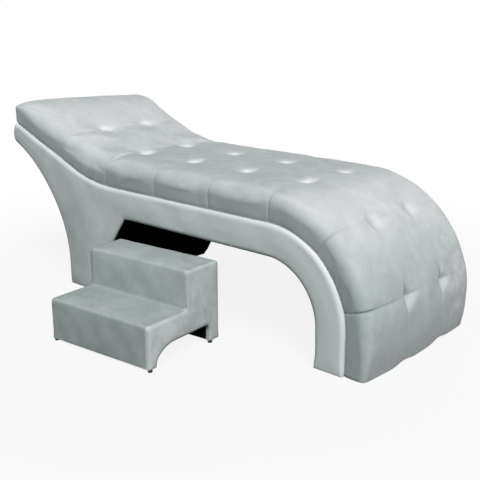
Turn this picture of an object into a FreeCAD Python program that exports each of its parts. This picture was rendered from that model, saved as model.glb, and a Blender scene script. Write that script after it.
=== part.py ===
"""Beauty treatment bed with a tufted pad, and its two-step stool.

Millimetres, +Z up, +X towards the foot end. The bed is laid out from its head end
(x = 0) and its centreline (y = 0), and the finished set is shifted so that the
origin is the bottom centre of the whole set.
"""
import FreeCAD, Part
import math
import os
from FreeCAD import Vector

# Bed base
BED_WIDTH = 700.0
HEAD_TOP = 656.0          # top of the base at the head end
HEAD_SLOPE = 21.26        # tilt of the head rest, degrees
HEAD_REST = 418.5         # straight stretch of the head rest
HEAD_BEND_R = 690.0       # bend from the head rest into the lounge
LOUNGE_LENGTH = 806.0     # level stretch of the base
FOOT_BEND_R = 322.0       # outer bend at the foot end
BAND_DEPTH = 108.0        # depth of the side band under the lounge
FLOOR_GAP = 3.0           # covers stand clear of the floor
TOP_CORNER_R = 10.0       # rounding at the top of the head end
HEAD_CORNER_R = 20.0      # rounding under the head end
LEG_FRONT = 353.0         # outer face of the head leg at the floor
LEG_BOW_R = 540.0         # bow of the head leg's outer edge
LEG_BOW_Z = 80.0          # height where the bow starts
LEG_FOOT = 112.0          # head leg along the floor
LEG_LEAN = 35.5           # lean of the head leg's inner edge, degrees
INNER_CORNER_R = 18.0     # where the head leg meets the band

# Bed construction
PLY = 15.0
RIM = 3.0                 # cover turned over the edges of a panel
GAP = 0.3                 # clearance beside soft and curved pieces
SIDE_FOAM = 6.0
SIDE_SKIN = 4.0
SIDE_ROUND = 8.0
DECK = 5.0
RAIL_WIDE = 40.0
RAIL_DEEP = 45.0
HEAD_RAIL_AT = 70.0       # first rail from the head end
FLOOR_RAIL_WIDE = 60.0
FLOOR_RAIL_TALL = 40.0
HEAD_SKIN = 4.0
HEAD_BOARD = 4.0
STRETCHER_Z = 340.0       # underside of the stretcher inside the head leg
DUST_COVER = 1.2
DUST_INSET = 1.0

# Pad
PAD_WIDTH = 684.0
PAD_INSET = 15.0          # pad starts this far in from the head end
PAD_FLOOR_GAP = 2.0
PAD_THICK = 118.0         # crown on the head rest and lounge
FOOT_THICK = 102.0        # crown on the foot drop
SEAM_DEPTH = 9.0          # sewn channel below the crown
SEAM_DRAW = 6.0           # sides drawn in at a channel
SHOULDER_DROP = 14.0      # shoulder below the crown
SHOULDER_IN = 46.0        # shoulder in from the side
SHOULDER_TALL = 36.0
SIDE_SWELL = 5.0
HEAD_END_CROWN = 92.0
FOOT_END_CROWN = 80.0
END_SOFTNESS = 0.5        # shoulders at the ends against those between
ROW_COUNT = 7
ROW_FIRST = 326.0         # first row, along the pad's surface from the head end
ROW_PITCH = 279.0
ROW_LEVEL = 100.0         # height above the deck at which rows are spaced
TUFT_DEEP = 17.0          # tuft below the sewn channel
TUFT_SEAT = 7.0           # radius of a tuft's floor
TUFT_WIDE = 64.0          # radius of its hollow at the crown
TUFT_BEND = (0.42, 0.58)  # shares of a hollow's width and rise where it bends most
PANEL_SHAPE = ((0.0, 0.0), (0.16, 0.66), (0.5, 1.0), (0.84, 0.66), (1.0, 0.0))   # fullness along a panel
BASE_FOAM = 52.0
BASE_FOAM_WALL = 24.0     # cover and wadding beside the base foam
TOPPER_FOAM = 24.0
TOPPER_WALL = 46.0        # cover and wadding beside the topper foam
FOAM_END = 24.0           # cover and wadding past the ends of the foam
TIE_D = 2.4
KNOT_D = 9.0
KNOT = 1.5
ANCHOR_D = 26.0
ANCHOR = 4.0

# Fasteners and glides
SCREW_D = 4.0
SCREW_HEAD_D = 8.0
SCREW_LENGTH = 45.0
SCREW_CLEAR = 0.15
SCREW_SPREAD = 20.0
SCREW_SHARES = (0.25, 0.75)   # screws along the edge of a stool board
GLIDE_D = 26.0
GLIDE_PIN_D = 3.0
GLIDE_PIN = 14.0
GLIDE_SPREAD = 270.0      # between glides across the bed

# Step stool
STEP_WIDTH = 479.0
STEP_DEPTH = 362.0
LOWER_TREAD = 194.0
LOWER_HEIGHT = 159.0
UPPER_HEIGHT = 298.0
STEP_GLIDE = 10.0
STEP_GLIDE_D = 16.0
STEP_FRONT_GLIDE = 11.0   # glides in from the front and the back
STEP_BACK_GLIDE = 40.0
STEP_SKIN = 6.0
STEP_ROUND = 5.0
STEP_CORNER_R = 12.0
STEP_BOARD = 12.0
TREAD_FOAM = 18.0
ARCH_FRONT = 36.0         # cut-out in from the front
ARCH_BACK = 52.0          # cut-out in from the back
ARCH_TALL = 62.0
ARCH_LEAN = 50.0          # its front leans back by this angle, degrees
ARCH_FRONT_R = 40.0       # bend into the lean; the sweep out of it takes up the rest of the lean
ARCH_STRAIGHT = 2.0       # straight before the bend and between it and the sweep
ARCH_R = 20.0             # its corner at the back
LINING = 1.2
STEP_TURN = 5.13          # the stool stands slightly askew, degrees
STEP_X = 814.0            # its front corner from the bed's head end
STEP_Y = -777.0           # and from the bed's centreline

HALF = BED_WIDTH / 2
INSIDE = HALF - SIDE_SKIN - SIDE_FOAM - GAP - PLY
PAD_HALF = PAD_WIDTH / 2
TUFT_Y = PAD_WIDTH / 6
STEP_HALF = STEP_WIDTH / 2
STEP_INSIDE = STEP_HALF - STEP_SKIN - GAP - PLY
ARCH_END = STEP_DEPTH - ARCH_BACK
FAR_AWAY = 3000.0         # reach of a trimming block


class Trace:
    """A tangent line in the XZ plane, made of straight runs and arcs."""

    def __init__(self, x, z, heading):
        self.pieces = []
        self.x = x
        self.z = z
        self.heading = math.radians(heading)

    def line(self, length):
        self.pieces.append((self.x, self.z, self.heading, length, 0.0))
        self.x += length * math.cos(self.heading)
        self.z += length * math.sin(self.heading)
        return self

    def arc(self, radius, turn):
        """Turn left by a positive angle in degrees, right by a negative one."""
        angle = math.radians(turn)
        bend = math.copysign(1.0 / radius, angle)
        self.pieces.append((self.x, self.z, self.heading, radius * abs(angle), bend))
        self.x += (math.sin(self.heading + angle) - math.sin(self.heading)) / bend
        self.z -= (math.cos(self.heading + angle) - math.cos(self.heading)) / bend
        self.heading += angle
        return self

    def stretch(self, first, last):
        """A shorter line with only some of the pieces."""
        short = Trace(0.0, 0.0, 0.0)
        short.pieces = self.pieces[first:last]
        return short

    def reach(self, index, level):
        """Length of one piece when the line is raised by a level."""
        return self.pieces[index][3] * (1.0 - level * self.pieces[index][4])

    def place(self, index, share):
        """Point and left-hand normal at a share of one piece."""
        x, z, heading, length, bend = self.pieces[index]
        run = length * share
        turned = heading + run * bend
        if bend:
            x += (math.sin(turned) - math.sin(heading)) / bend
            z -= (math.cos(turned) - math.cos(heading)) / bend
        else:
            x += run * math.cos(heading)
            z += run * math.sin(heading)
        return Vector(x, 0, z), Vector(-math.sin(turned), 0, math.cos(turned))

    def at(self, distance, level=0.0):
        """Place at a distance measured along the line raised by a level."""
        last = len(self.pieces) - 1
        for index in range(last):
            if distance <= self.reach(index, level):
                return self.place(index, distance / self.reach(index, level))
            distance -= self.reach(index, level)
        return self.place(last, distance / self.reach(last, level))

    def edges(self, level=0.0):
        """Edges of the line raised to its left by a level."""
        made = []
        for index, piece in enumerate(self.pieces):
            points = []
            for share in (0.0, 0.5, 1.0):
                point, normal = self.place(index, share)
                points.append(point + normal * level)
            if piece[4]:
                made.append(Part.Arc(*points).toShape())
            else:
                made.append(Part.LineSegment(points[0], points[2]).toShape())
        return made

    def band(self, low, high, half_width):
        """Strip between two levels of the line, across a width."""
        made = self.edges(low) + self.edges(high)
        for point, normal in (self.place(0, 0.0), self.place(len(self.pieces) - 1, 1.0)):
            made.append(Part.LineSegment(point + normal * low, point + normal * high).toShape())
        return slab(Part.Wire(Part.__sortEdges__(made)), -half_width, half_width)


def slab(wire, y0, y1):
    """Flat plate of an XZ outline between two planes."""
    face = Part.Face(wire)
    face.translate(Vector(0, y0, 0))
    return face.extrude(Vector(0, y1 - y0, 0))


def box(x0, x1, y0, y1, z0, z1):
    return Part.makeBox(x1 - x0, y1 - y0, z1 - z0, Vector(x0, y0, z0))


def rounded(corners):
    """Closed XZ wire through (x, z, radius) corners, each rounded by its radius."""
    turns = []
    for index, (x, z, radius) in enumerate(corners):
        here = Vector(x, 0, z)
        before = corners[index - 1]
        after = corners[(index + 1) % len(corners)]
        back = (Vector(before[0], 0, before[1]) - here).normalize()
        ahead = (Vector(after[0], 0, after[1]) - here).normalize()
        half_angle = back.getAngle(ahead) / 2
        cut = radius / math.tan(half_angle)
        middle = here + (back + ahead).normalize() * (radius / math.sin(half_angle) - radius)
        turns.append((here + back * cut, middle, here + ahead * cut))
    made = []
    for index, (start, middle, end) in enumerate(turns):
        if corners[index][2]:
            made.append(Part.Arc(start, middle, end).toShape())
        made.append(Part.LineSegment(end, turns[(index + 1) % len(turns)][0]).toShape())
    return Part.Wire(made)


def inset(wire, depth):
    """An outline drawn in by a depth, with its corners kept."""
    return wire.makeOffset2D(-depth, 2)


def round_rim(solid, plane_y, radius):
    """Round every edge of a plate that lies in one plane."""
    rim = [edge for edge in solid.Edges
           if abs(edge.BoundBox.YMin - plane_y) < 1e-4 and abs(edge.BoundBox.YMax - plane_y) < 1e-4]
    return solid.makeFillet(radius, rim)


def set_on(solid, place, y=0.0):
    """Stand a solid made at the origin on a line, its Z along the normal."""
    point, normal = place
    turn = math.degrees(math.atan2(normal.x, normal.z))
    moved = solid.copy()
    moved.Placement = FreeCAD.Placement(point + Vector(0, y, 0), FreeCAD.Rotation(Vector(0, 1, 0), turn))
    return moved


def cut_all(solid, tools):
    return solid.cut(Part.makeCompound(tools)) if tools else solid


def screw(x, y, z, way, length, clear=0.0):
    """Countersunk screw driven along Y from its head, or the hole for one."""
    head = SCREW_HEAD_D / 2 + clear
    shank = SCREW_D / 2 + clear
    point = Vector(x, y, z)
    along = Vector(0, way, 0)
    body = Part.makeCylinder(shank, length + clear, point, along)
    return body.fuse(Part.makeCone(head, shank, head - shank, point, along)).removeSplitter()


# Lines of the bed seen from its side
def deck_line(end_z):
    """Top edge of the base from the head end, over the lounge and down the foot to a height."""
    line = Trace(0.0, HEAD_TOP, -HEAD_SLOPE)
    line.line(HEAD_REST).arc(HEAD_BEND_R, HEAD_SLOPE).line(LOUNGE_LENGTH).arc(FOOT_BEND_R, -90.0)
    return line.line(line.z - end_z)


DECK_LINE = deck_line(FLOOR_GAP)
FOOT_X = DECK_LINE.x
FOOT_BEND_X = FOOT_X - FOOT_BEND_R
LOUNGE_Z = DECK_LINE.pieces[2][1]
BAND_LOW = LOUNGE_Z - BAND_DEPTH


def inner_line():
    """Inner edge from the floor up the foot leg, under the lounge and down the head leg."""
    bend = FOOT_BEND_R - BAND_DEPTH
    lean = math.radians(LEG_LEAN)
    corner_x = LEG_FRONT + LEG_FOOT + math.tan(lean) * (BAND_LOW - FLOOR_GAP)
    turn = 90.0 - LEG_LEAN
    cut = INNER_CORNER_R * math.tan(math.radians(turn) / 2)
    line = Trace(FOOT_X - BAND_DEPTH, FLOOR_GAP, 90.0)
    line.line(BAND_LOW - bend - FLOOR_GAP).arc(bend, 90.0)
    line.line(line.x - corner_x - cut).arc(INNER_CORNER_R, turn)
    return line.line((line.z - FLOOR_GAP) / math.cos(lean))


def head_line():
    """Outer edge from the floor up the bowed head leg and over the top of the head end.

    The rounding under the head end takes the room that the bow leaves below the top.
    """
    turn = 90.0 + HEAD_SLOPE
    cut = TOP_CORNER_R * math.tan(math.radians(turn) / 2)
    bow_x = LEG_FRONT - LEG_BOW_R
    rise = HEAD_TOP - cut - RIM - LEG_BOW_Z
    room = (rise ** 2 + bow_x ** 2 - LEG_BOW_R ** 2) / (2 * LEG_FRONT)
    corner = min(HEAD_CORNER_R, room)
    swing = math.degrees(math.acos((corner - bow_x) / (LEG_BOW_R + corner)))
    line = Trace(LEG_FRONT, FLOOR_GAP, 90.0)
    line.line(LEG_BOW_Z - FLOOR_GAP).arc(LEG_BOW_R, swing).arc(corner, -swing)
    return line.line(HEAD_TOP - cut - line.z).arc(TOP_CORNER_R, -turn)


INNER_LINE = inner_line()
HEAD_LINE = head_line()


def base_outline():
    """Closed outline of one side of the base."""
    deck = DECK_LINE.edges()
    bend_start, _ = DECK_LINE.place(0, 1.0)
    deck[0] = Part.LineSegment(Vector(HEAD_LINE.x, 0, HEAD_LINE.z), bend_start).toShape()
    foot_out = Vector(FOOT_X, 0, FLOOR_GAP)
    foot_in = Vector(FOOT_X - BAND_DEPTH, 0, FLOOR_GAP)
    leg_in = Vector(INNER_LINE.x, 0, INNER_LINE.z)
    leg_out = Vector(LEG_FRONT, 0, FLOOR_GAP)
    soles = [Part.LineSegment(foot_out, foot_in).toShape(), Part.LineSegment(leg_in, leg_out).toShape()]
    return Part.Wire(Part.__sortEdges__(deck + INNER_LINE.edges() + HEAD_LINE.edges() + soles))


OUTLINE = base_outline()


# Frame of the bed
def row_marks():
    """Distance of each sewn row along the pad's surface."""
    return [ROW_FIRST + index * ROW_PITCH for index in range(ROW_COUNT)]


def surface_length(level):
    return sum(DECK_LINE.reach(index, level) for index in range(len(DECK_LINE.pieces)))


def behind_board():
    """Radius of the bow behind the head board, with its clearances."""
    return LEG_BOW_R + HEAD_SKIN + HEAD_BOARD + 3 * GAP


def clear_of_head_board():
    """Distance from the head end at which the lower corner of a rail leaves the bowed head board."""
    slope = math.radians(HEAD_SLOPE)
    along = Vector(math.cos(slope), 0, -math.sin(slope))
    down = Vector(-math.sin(slope), 0, -math.cos(slope))
    corner = Vector(0, 0, HEAD_TOP) + down * (DECK + RAIL_DEEP) - along * (RAIL_WIDE / 2)
    from_bow = corner - Vector(LEG_FRONT - LEG_BOW_R, 0, LEG_BOW_Z)
    back = from_bow.dot(along)
    inside = back ** 2 - from_bow.dot(from_bow) + (behind_board() + GAP) ** 2
    if inside <= 0:
        return 0.0
    return math.sqrt(inside) - back


def rail_marks():
    """Rails under the deck: the first behind the head end, the rest midway between the rows of tufts."""
    first = max(HEAD_RAIL_AT, clear_of_head_board())
    stops = [PAD_INSET] + row_marks() + [surface_length(ROW_LEVEL)]
    midways = [(a + b) / 2 for a, b in zip(stops, stops[1:])]
    return [first] + [mark for mark in midways if mark > first + RAIL_WIDE]


def deck_rail():
    """Block of one rail at the origin, before it is planed to the deck."""
    return box(-RAIL_WIDE / 2, RAIL_WIDE / 2, -INSIDE, INSIDE, -DECK - RAIL_DEEP, 0)


def bed_rails():
    """Every rail of the bed by name, with the middle and way of its two screws."""
    rails = {}
    planed = DECK_LINE.band(-DECK - GAP, DECK, HALF)
    for index, mark in enumerate(rail_marks()):
        point, normal = DECK_LINE.at(mark, ROW_LEVEL)
        solid = set_on(deck_rail(), (point, normal)).cut(planed)
        middle = point - normal * (DECK + RAIL_DEEP / 2)
        rails["deck_rail_%d" % (index + 1)] = (solid, middle, Vector(normal.z, 0, -normal.x))
    sole = FLOOR_GAP + RIM
    bow = math.sqrt(behind_board() ** 2 - (STRETCHER_Z - LEG_BOW_Z) ** 2)
    stretcher_x = LEG_FRONT - LEG_BOW_R + bow
    lining = DUST_INSET + DUST_COVER + GAP
    corner_x = INNER_LINE.pieces[2][0] - INNER_LINE.pieces[2][3]
    blocks = {
        "head_leg_floor_rail": (LEG_FRONT + LEG_FOOT / 2 - FLOOR_RAIL_WIDE / 2, sole,
                                FLOOR_RAIL_WIDE, FLOOR_RAIL_TALL),
        "foot_leg_floor_rail": (FOOT_X - BAND_DEPTH / 2 - FLOOR_RAIL_WIDE / 2, sole,
                                FLOOR_RAIL_WIDE, FLOOR_RAIL_TALL),
        "head_leg_stretcher": (stretcher_x, STRETCHER_Z, RAIL_WIDE, RAIL_DEEP),
        "underside_rail_head": (corner_x, BAND_LOW + lining, RAIL_DEEP, RAIL_WIDE),
        "underside_rail_foot": (FOOT_BEND_X - RAIL_DEEP, BAND_LOW + lining, RAIL_DEEP, RAIL_WIDE),
    }
    for name, (x, z, wide, tall) in blocks.items():
        solid = box(x, x + wide, -INSIDE, INSIDE, z, z + tall)
        rails[name] = (solid, Vector(x + wide / 2, 0, z + tall / 2), Vector(1, 0, 0))
    return rails


def bed_screws(rails, clear=0.0):
    """Two screws through each side panel into each end of each rail."""
    made = []
    for _, middle, along in rails.values():
        for way in (-1, 1):
            spot = middle + along * (way * SCREW_SPREAD / 2)
            for side in (-1, 1):
                made.append(screw(spot.x, side * (INSIDE + PLY), spot.z, -side, SCREW_LENGTH, clear))
    return made


def bed_glide_places():
    """Glides under the two floor rails."""
    return [(x, y) for x in (LEG_FRONT + LEG_FOOT / 2, FOOT_X - BAND_DEPTH / 2)
            for y in (-GLIDE_SPREAD, 0.0, GLIDE_SPREAD)]


def glide(x, y, wide, tall, clear=0.0):
    """Glide with its nail, or the nail's hole."""
    nail = Part.makeCylinder(GLIDE_PIN_D / 2 + clear, tall + GLIDE_PIN + clear, Vector(x, y, 0))
    if clear:
        return nail
    return nail.fuse(Part.makeCylinder(wide / 2, tall, Vector(x, y, 0))).removeSplitter()


def side_pieces(side):
    """Panel, foam and cover of one side, near (-1) or far (1)."""
    def plate(wire, inner, outer):
        return slab(wire, min(side * inner, side * outer), max(side * inner, side * outer))
    core = inset(OUTLINE, RIM + GAP)
    panel = plate(core, INSIDE, INSIDE + PLY)
    foam = plate(core, HALF - SIDE_SKIN - SIDE_FOAM, HALF - SIDE_SKIN)
    cover = round_rim(plate(OUTLINE, INSIDE, HALF), side * HALF, SIDE_ROUND)
    cover = cover.cut(plate(inset(OUTLINE, RIM), INSIDE - RIM, HALF - SIDE_SKIN))
    return panel, foam, cover


# Pad
def ease(share):
    """Smooth step from 0 to 1."""
    share = min(1.0, max(0.0, share))
    return share * share * (3.0 - 2.0 * share)


def thickness(mark):
    """Crown of the pad at a distance along its surface."""
    thin_from = ROW_FIRST + (ROW_COUNT - 3) * ROW_PITCH
    return PAD_THICK + (FOOT_THICK - PAD_THICK) * ease((mark - thin_from) / (2 * ROW_PITCH))


def pad_section(place, crown, draw, softness):
    """Cross section of the pad: flat below the deck, swelling sides, soft shoulders, crowned top."""
    point, normal = place
    half = PAD_HALF - SIDE_SWELL - draw
    shoulder = crown - SHOULDER_DROP
    shoulder_in = SHOULDER_IN * softness
    shoulder_tall = SHOULDER_TALL * softness
    side = shoulder - shoulder_tall
    turn = math.sqrt(0.5)

    def spot(y, level):
        return point + Vector(0, y, 0) + normal * level
    foot = (half, -DECK)
    waist = (half + SIDE_SWELL, (side - DECK) / 2)
    edge = (half, side)
    bulge = (half - shoulder_in * (1 - turn), side + shoulder_tall * turn)
    top = (half - shoulder_in, shoulder)

    def left(mark):
        return (-mark[0], mark[1])

    def arc(a, b, c):
        return Part.Arc(spot(*a), spot(*b), spot(*c)).toShape()
    return Part.Wire([
        Part.LineSegment(spot(*left(foot)), spot(*foot)).toShape(),
        arc(foot, waist, edge),
        arc(edge, bulge, top),
        arc(top, (0.0, crown), left(top)),
        arc(left(top), left(bulge), left(edge)),
        arc(left(edge), left(waist), left(foot)),
    ])


def pad_end_places():
    """Upright plane at the head end and level plane at the floor."""
    slope = math.radians(HEAD_SLOPE)
    head = Vector(PAD_INSET, 0, HEAD_TOP - PAD_INSET * math.tan(slope))
    foot = Vector(FOOT_X, 0, PAD_FLOOR_GAP)
    return (head, Vector(0, 0, 1.0 / math.cos(slope))), (foot, Vector(1, 0, 0))


def pad_form():
    """Crowned panels between the sewn rows, joined at the rows."""
    head_end, foot_end = pad_end_places()
    stops = [PAD_INSET] + row_marks() + [surface_length(ROW_LEVEL) + FLOOR_GAP - PAD_FLOOR_GAP]
    panels = []
    for start, end in zip(stops, stops[1:]):
        sections = []
        for share, fullness in PANEL_SHAPE:
            mark = start + (end - start) * share
            crown = thickness(mark) - SEAM_DEPTH * (1.0 - fullness)
            draw = SEAM_DRAW * (1.0 - fullness)
            place = DECK_LINE.at(mark, ROW_LEVEL)
            softness = 1.0
            if mark == stops[0]:
                place, crown, softness = head_end, HEAD_END_CROWN, END_SOFTNESS
            if mark == stops[-1]:
                place, crown, softness = foot_end, FOOT_END_CROWN, END_SOFTNESS
            sections.append(pad_section(place, crown, draw, softness))
        panels.append(Part.makeLoft(sections, True, False))
    return panels[0].multiFuse(panels[1:]).removeSplitter()


def tuft_places():
    """Place, side and floor level of every tuft."""
    places = []
    for mark in row_marks():
        floor = thickness(mark) - SEAM_DEPTH - TUFT_DEEP
        for side in (-1, 1):
            places.append((DECK_LINE.at(mark, ROW_LEVEL), side * TUFT_Y, floor))
    return places


def tuft_hollow(floor):
    """Hollow of one tuft: steep at its floor and easing out into the crown."""
    rise = SEAM_DEPTH + TUFT_DEEP + 2 * KNOT
    start = Vector(TUFT_SEAT, 0, floor)
    out, up = TUFT_BEND
    middle = Vector(TUFT_SEAT + out * (TUFT_WIDE - TUFT_SEAT), 0, floor + up * rise)
    end = Vector(TUFT_WIDE, 0, floor + rise)
    axis_low = Vector(0, 0, floor)
    axis_high = Vector(0, 0, floor + rise)
    wire = Part.Wire([Part.LineSegment(axis_low, start).toShape(), Part.Arc(start, middle, end).toShape(),
                      Part.LineSegment(end, axis_high).toShape(),
                      Part.LineSegment(axis_high, axis_low).toShape()])
    return Part.Face(wire).revolve(Vector(0, 0, 0), Vector(0, 0, 1), 360)


def tie(floor, clear=0.0):
    """Twine from the tuft to a knot under its anchor, or the twine's hole."""
    low = -DECK - 2 * GAP - ANCHOR
    twine = Part.makeCylinder(TIE_D / 2 + clear, floor - low, Vector(0, 0, low))
    if clear:
        return twine
    top = Part.makeCylinder(KNOT_D / 2, KNOT, Vector(0, 0, floor + GAP))
    bottom = Part.makeCylinder(KNOT_D / 2, KNOT, Vector(0, 0, low - KNOT))
    stub = Part.makeCylinder(TIE_D / 2, GAP, Vector(0, 0, floor))
    return twine.multiFuse([stub, top, bottom]).removeSplitter()


def anchor():
    """Disc under the deck that a tie pulls against."""
    low = -DECK - 2 * GAP - ANCHOR
    disc = Part.makeCylinder(ANCHOR_D / 2, ANCHOR, Vector(0, 0, low))
    return disc.cut(Part.makeCylinder(TIE_D / 2 + GAP, ANCHOR, Vector(0, 0, low)))


def foam(low, high, wall, foot_x, grow=0.0):
    """Foam slab on the deck line, or its cavity in the cover when grown."""
    slab_form = DECK_LINE.band(low, high + grow, PAD_HALF - wall + grow)
    head_cut = PAD_INSET + FOAM_END - grow
    floor_cut = PAD_FLOOR_GAP + FOAM_END - grow
    trims = [box(-FAR_AWAY, head_cut, -FAR_AWAY, FAR_AWAY, 0, FAR_AWAY),
             box(0, FAR_AWAY, -FAR_AWAY, FAR_AWAY, -FAR_AWAY, floor_cut),
             box(foot_x + grow, FAR_AWAY, -FAR_AWAY, FAR_AWAY, 0, FAR_AWAY)]
    return cut_all(slab_form, trims)


def pad_pieces():
    """Cover, base foam and topper foam, with the tie holes through them."""
    base_top = GAP + BASE_FOAM
    topper_low = base_top + GAP
    topper_top = topper_low + TOPPER_FOAM
    past_foot = FOOT_X + PAD_THICK + FOAM_END
    base = foam(GAP, base_top, BASE_FOAM_WALL, past_foot)
    topper = foam(topper_low, topper_top, TOPPER_WALL, FOOT_BEND_X)
    cavity = [foam(-GAP, base_top, BASE_FOAM_WALL, past_foot, GAP),
              foam(base_top, topper_top, TOPPER_WALL, FOOT_BEND_X, GAP)]
    hollows = [set_on(tuft_hollow(floor), place, y) for place, y, floor in tuft_places()]
    holes = [set_on(tie(floor, GAP), place, y) for place, y, floor in tuft_places()]
    below_pad = deck_line(0.0).band(-RAIL_DEEP, GAP, FAR_AWAY)
    cover = cut_all(pad_form(), hollows)
    for tool in [below_pad] + cavity:
        cover = cover.cut(tool)
    return cut_all(cover, holes), cut_all(base, holes), cut_all(topper, holes), holes


def bed_pieces():
    """All pieces of the bed by name."""
    pieces = {}
    rails = bed_rails()
    holes = bed_screws(rails, SCREW_CLEAR)
    nails = [glide(x, y, GLIDE_D, FLOOR_GAP + RIM, SCREW_CLEAR) for x, y in bed_glide_places()]
    for name, side in (("near", -1), ("far", 1)):
        panel, padding, cover = side_pieces(side)
        pieces[name + "_side_panel"] = cut_all(panel, holes)
        pieces[name + "_side_foam"] = padding
        pieces[name + "_side_cover"] = cover
    for name, (solid, _, _) in rails.items():
        pieces[name] = cut_all(solid, holes + nails)
    cover, base, topper, tie_holes = pad_pieces()
    deck = DECK_LINE.band(-DECK, 0, INSIDE - GAP)
    deck = deck.cut(box(-FAR_AWAY, HEAD_LINE.x + GAP, -HALF, HALF, 0, FAR_AWAY))
    pieces["deck_board"] = cut_all(deck, tie_holes)
    pieces["head_end_cover"] = HEAD_LINE.band(-HEAD_SKIN, 0, INSIDE - GAP)
    board_level = -HEAD_SKIN - GAP
    board = HEAD_LINE.stretch(0, 4).band(board_level - HEAD_BOARD, board_level, INSIDE - GAP)
    pieces["head_end_board"] = board
    low = -DUST_INSET - DUST_COVER
    stretches = {"foot_leg": (0, 2), "underside": (2, 3), "head_leg": (3, 5)}
    for name, (first, last) in stretches.items():
        sheet = INNER_LINE.stretch(first, last).band(low, -DUST_INSET, INSIDE - GAP)
        pieces[name + "_dust_cover"] = sheet
    pieces["pad_cover"] = cover
    pieces["pad_base_foam"] = base
    pieces["pad_topper_foam"] = topper
    tufts = tuft_places()
    pieces["tuft_ties"] = Part.makeCompound([set_on(tie(floor), place, y) for place, y, floor in tufts])
    pieces["tuft_anchors"] = Part.makeCompound([set_on(anchor(), place, y) for place, y, _ in tufts])
    pieces["frame_screws"] = Part.makeCompound(bed_screws(rails))
    feet = [glide(x, y, GLIDE_D, FLOOR_GAP + RIM) for x, y in bed_glide_places()]
    pieces["bed_glides"] = Part.makeCompound(feet)
    return pieces


# Step stool, laid out with its depth along X and turned afterwards
def step_outline(arch):
    """Outline of the stool's side, with or without the cut-out at the floor."""
    corners = [(0, STEP_GLIDE, 0), (0, LOWER_HEIGHT, STEP_CORNER_R), (LOWER_TREAD, LOWER_HEIGHT, 0),
               (LOWER_TREAD, UPPER_HEIGHT, STEP_CORNER_R), (STEP_DEPTH, UPPER_HEIGHT, STEP_CORNER_R),
               (STEP_DEPTH, STEP_GLIDE, 0)]
    if arch:
        top = STEP_GLIDE + ARCH_TALL
        lean = math.radians(ARCH_LEAN)
        bend = ARCH_FRONT_R * math.tan(lean / 2)
        tall = ARCH_TALL - ARCH_STRAIGHT - bend
        sweep = tall / math.cos(lean) - bend - ARCH_STRAIGHT
        sweep_radius = sweep / math.tan((math.pi / 2 - lean) / 2)
        corners += [(ARCH_END, STEP_GLIDE, 0), (ARCH_END, top, ARCH_R),
                    (ARCH_FRONT + tall * math.tan(lean), top, sweep_radius),
                    (ARCH_FRONT, top - tall, ARCH_FRONT_R), (ARCH_FRONT, STEP_GLIDE, 0)]
    return rounded(corners)


def step_boards():
    """Extents in depth and height of each board between the stool's sides."""
    skin = RIM + GAP
    sole = STEP_GLIDE + RIM
    lower = LOWER_HEIGHT - skin - TREAD_FOAM - GAP
    upper = UPPER_HEIGHT - skin - TREAD_FOAM - GAP
    riser = LOWER_TREAD + skin
    back = STEP_DEPTH - skin
    return {
        "step_lower_riser_board": (skin, skin + STEP_BOARD, sole, lower - STEP_BOARD),
        "step_lower_tread_board": (skin, riser + STEP_BOARD, lower - STEP_BOARD, lower),
        "step_upper_riser_board": (riser, riser + STEP_BOARD, lower, upper - STEP_BOARD),
        "step_upper_tread_board": (riser, back, upper - STEP_BOARD, upper),
        "step_back_board": (back - STEP_BOARD, back, sole, upper - STEP_BOARD),
    }


def step_screws(clear=0.0):
    """Two screws through each side into each end of each board."""
    made = []
    for x0, x1, z0, z1 in step_boards().values():
        for share in SCREW_SHARES:
            upright = z1 - z0 > x1 - x0
            x = (x0 + x1) / 2 if upright else x0 + (x1 - x0) * share
            z = z0 + (z1 - z0) * share if upright else (z0 + z1) / 2
            for side in (-1, 1):
                made.append(screw(x, side * (STEP_INSIDE + PLY), z, -side, SCREW_LENGTH, clear))
    return made


def step_glide_places():
    return [(x, side * (STEP_INSIDE + PLY / 2)) for x in (STEP_FRONT_GLIDE, STEP_DEPTH - STEP_BACK_GLIDE)
            for side in (-1, 1)]


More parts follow.
